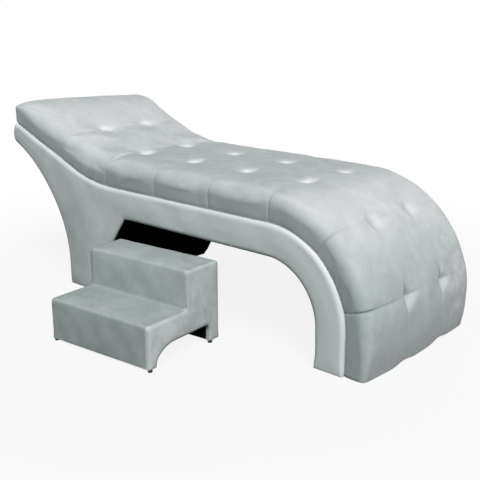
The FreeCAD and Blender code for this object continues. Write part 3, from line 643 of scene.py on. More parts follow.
# Materials
def add_node(tree, kind, inputs=(), **settings):
    """A node with its settings and the values of its inputs."""
    node = tree.nodes.new(kind)
    for name, value in settings.items():
        setattr(node, name, value)
    for name, value in dict(inputs).items():
        node.inputs[name].default_value = value
    return node


def link(tree, source, output, target, entry):
    tree.links.new(source.outputs[output], target.inputs[entry])


def new_group(name, inputs, outputs):
    """A node group with named sockets, and its two end nodes."""
    tree = bpy.data.node_groups.new(name, "ShaderNodeTree")
    for label, kind, value in inputs:
        socket = tree.interface.new_socket(name=label, in_out="INPUT", socket_type=kind)
        if value is not None:
            socket.default_value = value
    for label, kind in outputs:
        tree.interface.new_socket(name=label, in_out="OUTPUT", socket_type=kind)
    return tree, tree.nodes.new("NodeGroupInput"), tree.nodes.new("NodeGroupOutput")


def noise(tree, place, scale, detail, rough=0.5, bent=0.0):
    """Noise read at a place and with a scale that are linked in, each given as a node and its output."""
    node = add_node(tree, "ShaderNodeTexNoise", {"Detail": detail, "Roughness": rough, "Distortion": bent})
    link(tree, *place, node, "Vector")
    link(tree, *scale, node, "Scale")
    return node


def drawn_out(tree, start, shares):
    """The group's place with each way shrunk, which draws a pattern out along the smallest share."""
    node = add_node(tree, "ShaderNodeVectorMath", operation="MULTIPLY")
    node.inputs[1].default_value = shares
    link(tree, start, "Vector", node, 0)
    return node


def reckon(tree, operation, *sources, **settings):
    """A Math node with its inputs linked in, each given as a node and its output."""
    node = add_node(tree, "ShaderNodeMath", operation=operation, **settings)
    for entry, source in enumerate(sources):
        link(tree, *source, node, entry)
    return node


def times(tree, source, output, factor):
    """A number times a fixed factor."""
    node = reckon(tree, "MULTIPLY", (source, output))
    node.inputs[1].default_value = factor
    return node


def stretch_range(tree, source, output, given, wanted=(0.0, 1.0)):
    """A number taken from the given range to the wanted one, and held inside it."""
    node = add_node(tree, "ShaderNodeMapRange", {
        "From Min": given[0], "From Max": given[1], "To Min": wanted[0], "To Max": wanted[1]})
    link(tree, source, output, node, "Value")
    return node


def float_mix(tree, share_b, source_a, output_a, source_b, output_b):
    """A number between two others; without a share it is left for a link."""
    mix = add_node(tree, "ShaderNodeMix", {} if share_b is None else {"Factor": share_b}, data_type="FLOAT")
    link(tree, source_a, output_a, mix, "A")
    link(tree, source_b, output_b, mix, "B")
    return mix


# Upward share of the normal between which streaks turn from down the sides to along the bed
STREAK_TURN = (0.45, 0.75)
# Ways in which streaks are shrunk down the sides and along the bed, and the grain of wood along its boards
DOWN_SIDES = (0.7, 0.7, 0.35)
ALONG_BED = (0.25, 0.8, 0.8)
ALONG_BOARD = (0.07, 0.8, 1.0)
# Shares of streaks in the patches and of mottle in both
STREAK_SHARE = 0.30
MOTTLE_SHARE = 0.18
# Crushed places are coarser than the mottle, and coarse fibres than the fine ones, by these factors
CRUSH_SCALE = 0.19
COARSE_SCALE = 0.22


def pile_nap_group():
    """Patches where the pile lies one way or the other, and streaks: along the bed on top, down the sides."""
    tree, start, end = new_group(
        "pile_nap",
        [("Vector", "NodeSocketVector", None), ("Upright", "NodeSocketFloat", 0.0),
         ("Patches", "NodeSocketFloat", 12.0), ("Streaks", "NodeSocketFloat", 60.0),
         ("Mottle", "NodeSocketFloat", 95.0)],
        [("Nap", "NodeSocketFloat"), ("Blotch", "NodeSocketFloat")])
    place = (start, "Vector")
    patches = noise(tree, place, (start, "Patches"), detail=4.0, rough=0.6, bent=0.8)
    fallen = [noise(tree, (drawn_out(tree, start, way), "Vector"), (start, "Streaks"),
                    detail=4.0, rough=0.62, bent=0.4) for way in (DOWN_SIDES, ALONG_BED)]
    streaks = float_mix(tree, None, fallen[0], "Fac", fallen[1], "Fac")
    level = stretch_range(tree, start, "Upright", STREAK_TURN)
    link(tree, level, "Result", streaks, "Factor")
    mottle = noise(tree, place, (start, "Mottle"), detail=3.0, rough=0.6, bent=0.5)
    broad = float_mix(tree, STREAK_SHARE, patches, "Fac", streaks, "Result")
    all_three = float_mix(tree, MOTTLE_SHARE, broad, "Result", mottle, "Fac")
    nap = stretch_range(tree, all_three, "Result", (0.30, 0.70), (0.37, 0.73))
    link(tree, nap, "Result", end, "Nap")
    coarser = times(tree, start, "Mottle", CRUSH_SCALE)
    crush = noise(tree, place, (coarser, "Value"), detail=5.0, rough=0.65, bent=0.4)
    blotch = stretch_range(tree, crush, "Fac", (0.45, 0.75))
    link(tree, blotch, "Result", end, "Blotch")
    return tree


def pile_grain_group():
    """Height of short fibres: fine noise over a slightly coarser one."""
    tree, start, end = new_group(
        "pile_grain",
        [("Vector", "NodeSocketVector", None), ("Fibres", "NodeSocketFloat", 900.0)],
        [("Height", "NodeSocketFloat")])
    place = (start, "Vector")
    fine = noise(tree, place, (start, "Fibres"), detail=2.0, rough=0.7)
    coarser = times(tree, start, "Fibres", COARSE_SCALE)
    coarse = noise(tree, place, (coarser, "Value"), detail=2.0)
    both = float_mix(tree, 0.5, fine, "Fac", coarse, "Fac")
    link(tree, both, "Result", end, "Height")
    return tree


def wood_grain_group():
    """Long grain with rings: noise drawn out along X, widened to bands, under finer fibres."""
    tree, start, end = new_group(
        "wood_grain",
        [("Vector", "NodeSocketVector", None), ("Rings", "NodeSocketFloat", 60.0)],
        [("Grain", "NodeSocketFloat"), ("Height", "NodeSocketFloat")])
    long = drawn_out(tree, start, ALONG_BOARD)
    bands = noise(tree, (long, "Vector"), (start, "Rings"), detail=3.0, bent=1.2)
    fibres = add_node(tree, "ShaderNodeTexNoise", {"Scale": 700.0, "Detail": 2.0})
    link(tree, long, "Vector", fibres, "Vector")
    widened = stretch_range(tree, bands, "Fac", (0.35, 0.65))
    both = float_mix(tree, 0.3, widened, "Result", fibres, "Fac")
    link(tree, both, "Result", end, "Grain")
    link(tree, fibres, "Fac", end, "Height")
    return tree


GROUPS = {"pile_nap": pile_nap_group, "pile_grain": pile_grain_group, "wood_grain": wood_grain_group}


def group_node(tree, name, inputs=()):
    """A shared node group placed in a material with its own values."""
    group = bpy.data.node_groups.get(name) or GROUPS[name]()
    node = tree.nodes.new("ShaderNodeGroup")
    node.node_tree = group
    for label, value in dict(inputs).items():
        node.inputs[label].default_value = value
    return node


def new_material(name, viewport):
    """An empty material with its shader, and the object's own coordinates."""
    material = bpy.data.materials.new(name)
    material.use_nodes = True
    material.diffuse_color = (*viewport, 1.0)
    tree = material.node_tree
    shader = tree.nodes["Principled BSDF"]
    place = add_node(tree, "ShaderNodeTexCoord")
    return material, tree, shader, place


def tinted(shade, factor):
    """A shade made lighter or darker."""
    return tuple(factor * part for part in shade)


def add_roughness(tree, source, output, shader, start, end):
    """Roughness from one value to another as a factor goes from 0 to 1."""
    rough = stretch_range(tree, source, output, (0.0, 1.0), (start, end))
    link(tree, rough, "Result", shader, "Roughness")


def add_bump(tree, source, output, shader, strength, distance):
    bump = add_node(tree, "ShaderNodeBump", {"Strength": strength, "Distance": distance})
    link(tree, source, output, bump, "Height")
    link(tree, bump, "Normal", shader, "Normal")


def colour_mix(tree, shade_a, shade_b, source, output):
    """A colour between two shades by a factor."""
    mix = add_node(tree, "ShaderNodeMix", data_type="RGBA")
    mix.inputs["A"].default_value = (*shade_a, 1.0)
    mix.inputs["B"].default_value = (*shade_b, 1.0)
    link(tree, source, output, mix, "Factor")
    return mix


# Upward share of the normal over which level tops take painted shade, and from upright faces, with their
# painted shade tint, to level ones
LEVEL_TOPS = (0.93, 0.995)
UPRIGHT_TO_LEVEL = (0.30, 0.75)


def velvet_material(finish):
    """Short-pile velvet: nap, streaks, sheen and fibre grain, with painted shade in creases and on level
    tops, a painted shade tint on upright faces, painted highlights in tufts and painted light and shade by
    place.
    """
    if "grey_velvet" in bpy.data.materials:
        return bpy.data.materials["grey_velvet"]
    material, tree, shader, place = new_material("grey_velvet", finish.velvet_light)
    nap = group_node(tree, "pile_nap")
    link(tree, place, "Object", nap, "Vector")
    upright = add_node(tree, "ShaderNodeSeparateXYZ")
    link(tree, place, "Normal", upright, "Vector")
    steep = reckon(tree, "ABSOLUTE", (upright, "Z"))
    link(tree, steep, "Value", nap, "Upright")
    # Painted shade: level tops are made darker.
    shaded_tops = stretch_range(tree, upright, "Z", LEVEL_TOPS, (0.0, -finish.painted_shade))
    standing = reckon(tree, "ADD", (nap, "Nap"), (shaded_tops, "Result"))
    crushed = add_node(tree, "ShaderNodeAttribute", attribute_name="crushed")
    blotched = reckon(tree, "MULTIPLY_ADD", (nap, "Blotch"), (crushed, "Fac"), (standing, "Value"))
    # Painted light and shade set per place on each piece, added to the pile's tone.
    way = add_node(tree, "ShaderNodeAttribute", attribute_name="painted_light")
    lying = reckon(tree, "ADD", (blotched, "Value"), (way, "Fac"), use_clamp=True)
    # Painted shade tint on upright faces, turning to the light colour on level tops.
    level = stretch_range(tree, steep, "Value", UPRIGHT_TO_LEVEL)
    lit = colour_mix(tree, finish.velvet_shade_tint, finish.velvet_light, level, "Result")
    napped = colour_mix(tree, finish.velvet_dark, finish.velvet_light, lying, "Value")
    link(tree, lit, "Result", napped, "B")
    # Painted highlight on the walls of tufts that face the light.
    highlight_mask = add_node(tree, "ShaderNodeAttribute", attribute_name="painted_highlight")
    painted_light = colour_mix(tree, finish.velvet_light, finish.velvet_highlight, highlight_mask, "Fac")
    link(tree, napped, "Result", painted_light, "A")
    # Painted shade along seams, round tufts and in the stool's tuck.
    crease = add_node(tree, "ShaderNodeAttribute", attribute_name="crease")
    painted_shade = colour_mix(tree, finish.velvet_light, finish.velvet_crease_shade, crease, "Fac")
    link(tree, painted_light, "Result", painted_shade, "A")
    link(tree, painted_shade, "Result", shader, "Base Color")
    add_roughness(tree, nap, "Nap", shader, 0.95, 0.82)
    shader.inputs["Specular IOR Level"].default_value = 0.0
    shader.inputs["Sheen Weight"].default_value = 0.22
    shader.inputs["Sheen Roughness"].default_value = 0.34
    shader.inputs["Sheen Tint"].default_value = (0.96, 0.98, 1.0, 1.0)
    grain = group_node(tree, "pile_grain")
    link(tree, place, "Object", grain, "Vector")
    add_bump(tree, grain, "Height", shader, strength=0.35, distance=0.0007)
    return material


def lining_material(finish):
    """Black spun-bonded lining: small pressed dots in a dull matt sheet."""
    if "spun_lining" in bpy.data.materials:
        return bpy.data.materials["spun_lining"]
    material, tree, shader, place = new_material("spun_lining", finish.lining)
    dots = add_node(tree, "ShaderNodeTexVoronoi", {"Scale": 420.0, "Randomness": 0.15})
    link(tree, place, "Object", dots, "Vector")
    fibres = group_node(tree, "pile_grain", {"Fibres": 600.0})
    link(tree, place, "Object", fibres, "Vector")
    mix = colour_mix(tree, finish.lining, tinted(finish.lining, 2.2), fibres, "Height")
    link(tree, mix, "Result", shader, "Base Color")
    add_roughness(tree, fibres, "Height", shader, 0.75, 0.95)
    shader.inputs["Specular IOR Level"].default_value = 0.0
    add_bump(tree, dots, "Distance", shader, strength=0.3, distance=0.0006)
    return material


def wood_material(name, light, dark, rings):
    """Bare wood with grain and fibre."""
    material, tree, shader, place = new_material(name, light)
    grain = group_node(tree, "wood_grain", {"Rings": rings})
    link(tree, place, "Object", grain, "Vector")
    mix = colour_mix(tree, dark, light, grain, "Grain")
    link(tree, mix, "Result", shader, "Base Color")
    add_roughness(tree, grain, "Grain", shader, 0.72, 0.55)
    add_bump(tree, grain, "Height", shader, strength=0.25, distance=0.0004)
    return material


def plain_material(name, shade, dull, smooth, metal, grain_scale):
    """A moulded or plated finish with fine unevenness."""
    material, tree, shader, place = new_material(name, shade)
    grain = group_node(tree, "pile_grain", {"Fibres": grain_scale})
    link(tree, place, "Object", grain, "Vector")
    mix = colour_mix(tree, tinted(shade, 0.8), tinted(shade, 1.2), grain, "Height")
    link(tree, mix, "Result", shader, "Base Color")
    add_roughness(tree, grain, "Height", shader, smooth, dull)
    shader.inputs["Metallic"].default_value = metal
    add_bump(tree, grain, "Height", shader, strength=0.2, distance=0.0003)
    return material


def dress(piece, body, slot, *nodes):
    """Hang a finished piece on its body, in the place of its plain solids."""
    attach(piece, body)
    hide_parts(*nodes)


# The pad

# Powers that move the fullest place of the last two panels between rows towards the floor
PANEL_SAGS = (1.45, 1.2)
# Powers of the sine along a panel, for its seams, its drawn-in sides and its puff
SEAM_POWER = 0.57
DRAW_POWER = 0.5
PUFF_POWER = 0.8
# Powers of a tuft's outline: round on the lounge, with straighter sides on the foot drop
LOUNGE_OUTLINE = 2.0
FOOT_OUTLINE = 1.25
# Powers of a tuft's walls: a rounded scoop on the lounge, facets on the foot drop
SCOOP_POWER = 2.4
FACET_POWER = 1.6
# Crease above a tuft: how far it leans for its height, and the height over which it starts
PULL_LEAN = 0.2
PULL_START = 0.010
# Far side of the foot drop: where it starts, how soon it is reached, and what rows and seams lose there
FAR_START = -0.27
FAR_RUN = 0.22
FAR_ROW_LOSS = 0.8
FAR_SEAM_LOSS = 0.7
# The shoulder shows in the stitched lines from this many shoulder widths in from the side
SHOULDER_REACH = 1.5
# Lengths along the pad over which the forms of its ends die out
HEAD_CORNER_RUN = 0.3
HEAD_END_RUN = 0.12
HEAD_SKEW_RUN = 0.25
HEAD_SIDE_RUN = 0.10
UPRIGHT_RUN = 0.16
FOOT_END_RUN = 0.13
FLOOR_RUN = 0.09
# Lower place at the far side of the foot bend: its reach along, its start across and how soon it is full
FAR_BEND_REACH = 0.26
FAR_BEND_START = -0.05
FAR_BEND_RUN = 0.30
# Lift of the lower edge, in half widths: where it starts across and how soon it is full
LIFT_START = -0.6
LIFT_RUN = 1.1
# Points draw together round rows and tufts: reach and gain
ROW_CLOSENESS = (0.03, 3.5)
TUFT_CLOSENESS = (0.09, 3.0)
# The head end's softer shoulders reach this far at the near side, and this much further half way across
HEAD_SOFT_RUN = 0.15
HEAD_SOFT_MORE = 0.10
# Drop of the head end's corners: its mean, what the near one has more, and its power across the pad
HEAD_DROP_MEAN = 0.55
HEAD_DROP_TILT = 0.45
HEAD_DROP_POWER = 6
# Where down a side the roll under starts and how soon it is full, and its share at the head end
ROLL_START = 0.8
ROLL_RUN = 0.2
HEAD_TUCK = 0.3
# Share of the sides' form that the two ends have
END_FORM = 0.6
# Rows, columns and steps round the edge of the pad's grid, and loops down its sides
PAD_GRID = (310, 96, 10)
SIDE_LOOPS = 9
# Room left for the cloth to swell into
PUFF = 0.004
# Fewest folds round a tuft and one more than the most, and the wave of the slack over the filling
FOLD_COUNTS = (5, 8)
PAD_WAVE = 0.16


def pad_rows(pad):
    """Distance of each sewn row along the pad's surface."""
    return pad.row_first + pad.row_pitch * np.arange(pad.rows)


class PadForm:
    """Shape of the pad over the deck: height and half width at a distance and an offset."""

    def __init__(self, bed, pad):
        self.bed = bed
        self.pad = pad
        self.deck = deck_line(bed)
        self.rows = pad_rows(pad)
        self.start = pad.inset / math.cos(bed.head_slope)
        self.end = self.deck.stops(pad.row_level)[-1] + bed.floor_gap - pad.floor_gap
        self.stops = np.concatenate([[self.start], self.rows, [self.end]])
        self.half = pad.width / 2

    def between(self, lounge, foot, mark):
        """A size on the lounge, eased to another over the last two rows on the foot drop."""
        return lounge + (foot - lounge) * ease((mark - self.rows[-3]) / (2 * self.pad.row_pitch))

    def fullness(self, mark, power):
        """0 at a sewn row and 1 in a panel: sin(pi t)^power, with the panels at both ends open."""
        panel = np.clip(np.searchsorted(self.stops, mark, side="right") - 1, 0, len(self.stops) - 2)
        along = (mark - self.stops[panel]) / (self.stops[panel + 1] - self.stops[panel])
        last = len(self.stops) - 2
        lean = np.select([panel == last - 1, panel == last - 2], PANEL_SAGS, 1.0)
        along = np.clip(along, 0.0, 1.0) ** lean
        full = np.sin(np.pi * along) ** power
        open_end = ((panel == 0) & (along < 0.5)) | ((panel == last) & (along > 0.5))
        return np.where(open_end, 1.0, full)

    def nearest_tuft(self, mark, offset):
        """Row of the nearest tuft, and the way from it along and across the pad."""
        row = np.clip(np.round((mark - self.rows[0]) / self.pad.row_pitch), 0, self.pad.rows - 1).astype(int)
        return row, mark - self.rows[row], offset - np.sign(offset) * self.pad.tuft_y

    def tufts(self, mark, offset):
        """Scaled distance and direction to the nearest tuft, with the tuft's own number.

        The distance is (|along|^p + |across|^p)^(1 / p): round on the lounge, with
        straighter sides on the foot drop, where a tuft also reaches further down.
        """
        pad = self.pad
        row, past, beside = self.nearest_tuft(mark, offset)
        foot_long = np.where(past > 0, pad.foot_tuft_below, pad.foot_tuft_above)
        along = past / self.between(pad.tuft_long, foot_long, mark)
        foot_wide = np.where(beside > 0, pad.foot_tuft_far, pad.foot_tuft_near)
        across = beside / self.between(pad.tuft_wide, foot_wide, mark)
        power = self.between(LOUNGE_OUTLINE, FOOT_OUTLINE, mark)
        far = (np.abs(along) ** power + np.abs(across) ** power) ** (1.0 / power)
        return far, np.arctan2(along, across), 2 * row + (offset > 0)

    def pulled(self, mark, offset):
        """Crease that runs up from each tuft of the foot drop: exp(-(across / width)^2), fading upwards."""
        pad = self.pad
        _, past, beside = self.nearest_tuft(mark, offset)
        across = np.exp(-((beside + PULL_LEAN * past) / pad.pull_wide) ** 2)
        run = ease(-past / PULL_START) * (1.0 - ease(-past / pad.pull_long))
        return self.between(0.0, 1.0, mark) * across * run

    def far_side(self, mark, offset):
        """0 on the near side and 1 over the rest of the foot drop, where the rows are hardly drawn in."""
        return self.between(0.0, 1.0, mark) * ease((offset - FAR_START) / FAR_RUN)

    def shoulder(self, offset):
        """0 on top of the pad and 1 over its rounded sides."""
        wide = self.pad.shoulder_in
        return ease((np.abs(offset) - self.half + SHOULDER_REACH * wide) / wide)

    def line(self, mark):
        """Stitched line: exp(-(distance / width)^2) from the nearest row."""
        nearest = np.min(np.abs(mark[..., None] - self.rows), axis=-1)
        return np.exp(-(nearest / self.pad.groove_wide) ** 2)

    def groove(self, mark, offset):
        """Depth of the stitched line: faint on top of the lounge, clear on the foot drop and shoulders."""
        pad = self.pad
        top = self.between(pad.groove, pad.foot_groove, mark)
        foot_side = np.where(offset < 0, pad.foot_side_groove, pad.side_groove)
        beside = self.between(pad.side_groove, foot_side, mark)
        depth = top + (beside - top) * self.shoulder(offset)
        return depth * self.line(mark) * (1.0 - FAR_ROW_LOSS * self.far_side(mark, offset))

    def height(self, mark, offset, puff):
        """Top of the pad above the deck before its edges are rounded.

        It is the crown less the seam, the stitched line, the tuft with its crease, and the
        drops at both ends. A tuft is exp(-far^p) on the lounge and (1 - far)^p on the foot drop.
        """
        pad = self.pad
        top = self.between(pad.crown, pad.foot_crown, mark)
        seam = self.between(pad.seam_depth, pad.foot_seam, mark) * (1.0 - self.fullness(mark, SEAM_POWER))
        seam = seam * (1.0 - FAR_SEAM_LOSS * self.far_side(mark, offset))
        groove = self.groove(mark, offset)
        deepest = self.between(pad.tuft_depth, pad.foot_tuft, mark)
        far = self.tufts(mark, offset)[0]
        scoop = np.exp(-far ** SCOOP_POWER)
        facet = np.maximum(1.0 - far, 0.0) ** FACET_POWER
        pinch = self.between(scoop, facet, mark)
        dent = (1.0 - pad.tuft_seat) * pinch + pad.tuft_seat * np.exp(-(far / pad.tuft_spread) ** 2)
        tuft = (deepest - seam - groove) * dent + pad.pull * self.pulled(mark, offset) * (1.0 - pinch)
        near_head = 1.0 - ease((mark - self.start) / HEAD_CORNER_RUN)
        head = pad.head_end * np.clip(1.0 - (mark - self.start) / HEAD_END_RUN, 0.0, 1.0) ** 2
        head = head + pad.head_tilt * near_head * (0.5 + offset / self.half)
        foot = pad.foot_end * np.clip(1.0 - (self.end - mark) / FOOT_END_RUN, 0.0, 1.0) ** 2
        bend = np.exp(-((mark - self.rows[-2]) / FAR_BEND_REACH) ** 2)
        foot = foot + pad.far_bend * bend * ease((offset - FAR_BEND_START) / FAR_BEND_RUN)
        return top - seam - groove - tuft - head - foot - puff * self.fullness(mark, PUFF_POWER)

    def place(self, mark, offset, height):
        """Point on a rib of the pad: upright at the head end and square to the deck elsewhere."""
        pad = self.pad
        lobes = np.exp(-((np.abs(offset) - pad.tuft_y) / pad.notch_wide) ** 2)
        near_floor = ease(1.0 - (self.end - mark) / FLOOR_RUN)
        lifted = pad.far_lift * ease((offset - LIFT_START * self.half) / (LIFT_RUN * self.half))
        mark = mark - (pad.notch * lobes + lifted) * near_floor
        skewed = 1.0 - ease((mark - self.start) / HEAD_SKEW_RUN)
        mark = mark + pad.head_skew * offset / self.half * skewed
        x, z, heading = self.deck.at(mark, pad.row_level)
        upright = 1.0 - ease((mark - self.start) / UPRIGHT_RUN)
        rib_x = -np.sin(heading) * (1.0 - upright)
        rib_z = np.cos(heading) * (1.0 - upright) + upright / math.cos(self.bed.head_slope)
        return np.stack([x + rib_x * height, offset, z + rib_z * height], axis=-1)


def edge_angles(count):
    """Sines from 1 at the very edge down to almost 0, in even angles."""
    return np.sin(np.linspace(np.pi / 2, 0.0, count, endpoint=False))


def pad_grids(form, row_count, column_count, shoulder_count, puff):
    """Distances, offsets and heights of the pad's front grid, and its shares in rounded ends and sides.

    Each edge is a quarter ellipse; where two edges meet, the square of their two
    shares is drawn in to a disc, which rounds the corner.
    """
    pad = form.pad
    edge = edge_angles(shoulder_count)
    rounds = np.array([pad.head_round, pad.foot_round])
    inner = spaced(form.start + rounds[0], form.end - rounds[1], row_count, form.rows,
                   *ROW_CLOSENESS)
    tuft = pad.tuft_y / (form.half - pad.shoulder_in)
    across = spaced(-1.0, 1.0, column_count, (-tuft, tuft), *TUFT_CLOSENESS)
    end_share = np.concatenate([-edge, np.zeros(row_count), edge[::-1]])[:, None]
    side_share = np.concatenate([-edge, np.zeros(column_count), edge[::-1]])[None, :]
    ends = np.ones(shoulder_count)
    flat_mark = np.concatenate([ends * inner[0], inner, ends * inner[-1]])[:, None]
    flat_share = np.concatenate([-ends, across, ends])[None, :]
    biggest = np.maximum(np.abs(end_share), np.abs(side_share))
    drawn = biggest / np.maximum(np.hypot(end_share, side_share), TINY)
    end_share = end_share * drawn
    side_share = side_share * drawn
    end_round = np.where(end_share < 0, rounds[0], rounds[1])
    mark = flat_mark + end_share * end_round
    head_reach = HEAD_SOFT_RUN + HEAD_SOFT_MORE * (flat_share + 1.0)
    soft = pad.head_soft + (1.0 - pad.head_soft) * ease((mark - form.start) / head_reach)
    floor_soft = pad.near_soft + (pad.far_soft - pad.near_soft) * (flat_share + 1.0) / 2
    soft = soft + (floor_soft - soft) * ease((mark - form.rows[-1]) / (form.end - form.rows[-1]))
    drawn_in = pad.seam_draw * (1.0 - form.fullness(mark, DRAW_POWER)) + pad.side_groove * form.line(mark)
    drawn_in = drawn_in * (1.0 - FAR_ROW_LOSS * form.far_side(mark, flat_share * form.half))
    swells_in = 2.0 - ease((mark - form.start) / HEAD_SIDE_RUN)
    half = form.half - pad.swell * swells_in - drawn_in
    shoulder = pad.shoulder_in * soft
    offset = flat_share * (half - shoulder) + side_share * shoulder
    weight = np.maximum(end_share ** 2 + side_share ** 2, TINY)
    tall = (pad.shoulder_tall * soft * side_share ** 2 + end_round * end_share ** 2) / weight
    past_head = ease((mark - form.start) / HEAD_CORNER_RUN)
    drop = form.between(pad.shoulder_drop, pad.foot_drop, mark) * past_head * flat_share ** 2
    head_drop = pad.head_drop * (HEAD_DROP_MEAN - HEAD_DROP_TILT * flat_share)
    drop = drop + head_drop * (1.0 - past_head) * flat_share ** HEAD_DROP_POWER
    height = form.height(mark, offset, puff) - drop
    height = height - tall * (1.0 - np.sqrt(np.maximum(1.0 - biggest ** 2, 0.0)))
    return mark, offset, height, end_share, side_share


def pad_skin(form, mark, offset, height, end_share, side_share, loops):
    """Points of the front, the sides down to the rolled lower edge, and the flat underside."""
    pad = form.pad
    rows, columns = mark.shape
    edge = grid_edge(rows, columns)
    mark_edge = mark.ravel()[edge]
    offset_edge = offset.ravel()[edge]
    height_edge = height.ravel()[edge]
    out_mark = end_share.ravel()[edge]
    out_side = side_share.ravel()[edge]
    full = ease((mark_edge - form.start) / HEAD_SIDE_RUN)
    tuck = pad.tuck * (HEAD_TUCK + (1.0 - HEAD_TUCK) * full)
    sides = []
    for loop in range(1, loops + 1):
        down = loop / (loops + 1)
        rolled = max(0.0, (down - ROLL_START) / ROLL_RUN) ** 2
        outside = -pad.swell * down ** 2 * full - tuck * rolled
        level = pad.clearance + (height_edge - pad.clearance) * (1.0 - down)
        sides.append(form.place(mark_edge + END_FORM * out_mark * outside,
                                offset_edge + out_side * outside, level))
    middle = (form.start + form.end) / 2
    shrink_mark = 1.0 - pad.tuck / (form.end - middle)
    shrink_side = 1.0 - pad.tuck / form.half
    back = form.place(middle + (mark - middle) * shrink_mark, offset * shrink_side,
                      np.full_like(mark, pad.clearance))
    return form.place(mark, offset, height), sides, back


class Hold:
    """How firmly the cloth is held, from 0 to 1, and the reach of each hold."""
    foot_row = 0.9
    shoulder_row = 0.7
    side_row = 0.8
    tuft_reach = 1.1
    tuft_power = 4
    end = 0.9
    end_reach = 0.08
    pull = 0.9
    side_top = 0.25


class Pile:
    """How far the pile's tone moves at places of the pad, by painted shade, painted highlights, painted light
    and crushed patches, and the reach of some of them.
    """
    sewn = 0.35
    most_sewn = 1.6
    sewn_lounge = 0.3
    tuft = 0.4
    tuft_reach = 0.3
    pull = 0.7
    side_sewn = 0.3
    side_lounge = 0.2
    highlight_lounge = 0.7
    highlight_foot = 0.35
    highlight_turn = 0.6
    highlight_middle = 0.6
    highlight_reach = 0.4
    head = 0.10
    head_rows = 1.5
    bend = 0.19
    bend_row = 0.6
    bend_reach = 0.22
    low = 0.11
    low_run = 0.25
    lounge = 0.03
    sides = 0.26
    sides_low = 0.06
    sides_middle = 0.13
    middle_reach = 0.3
    side_power = 1.5
    crushed = 0.5
    crushed_start = 0.02
    crushed_run = 0.25


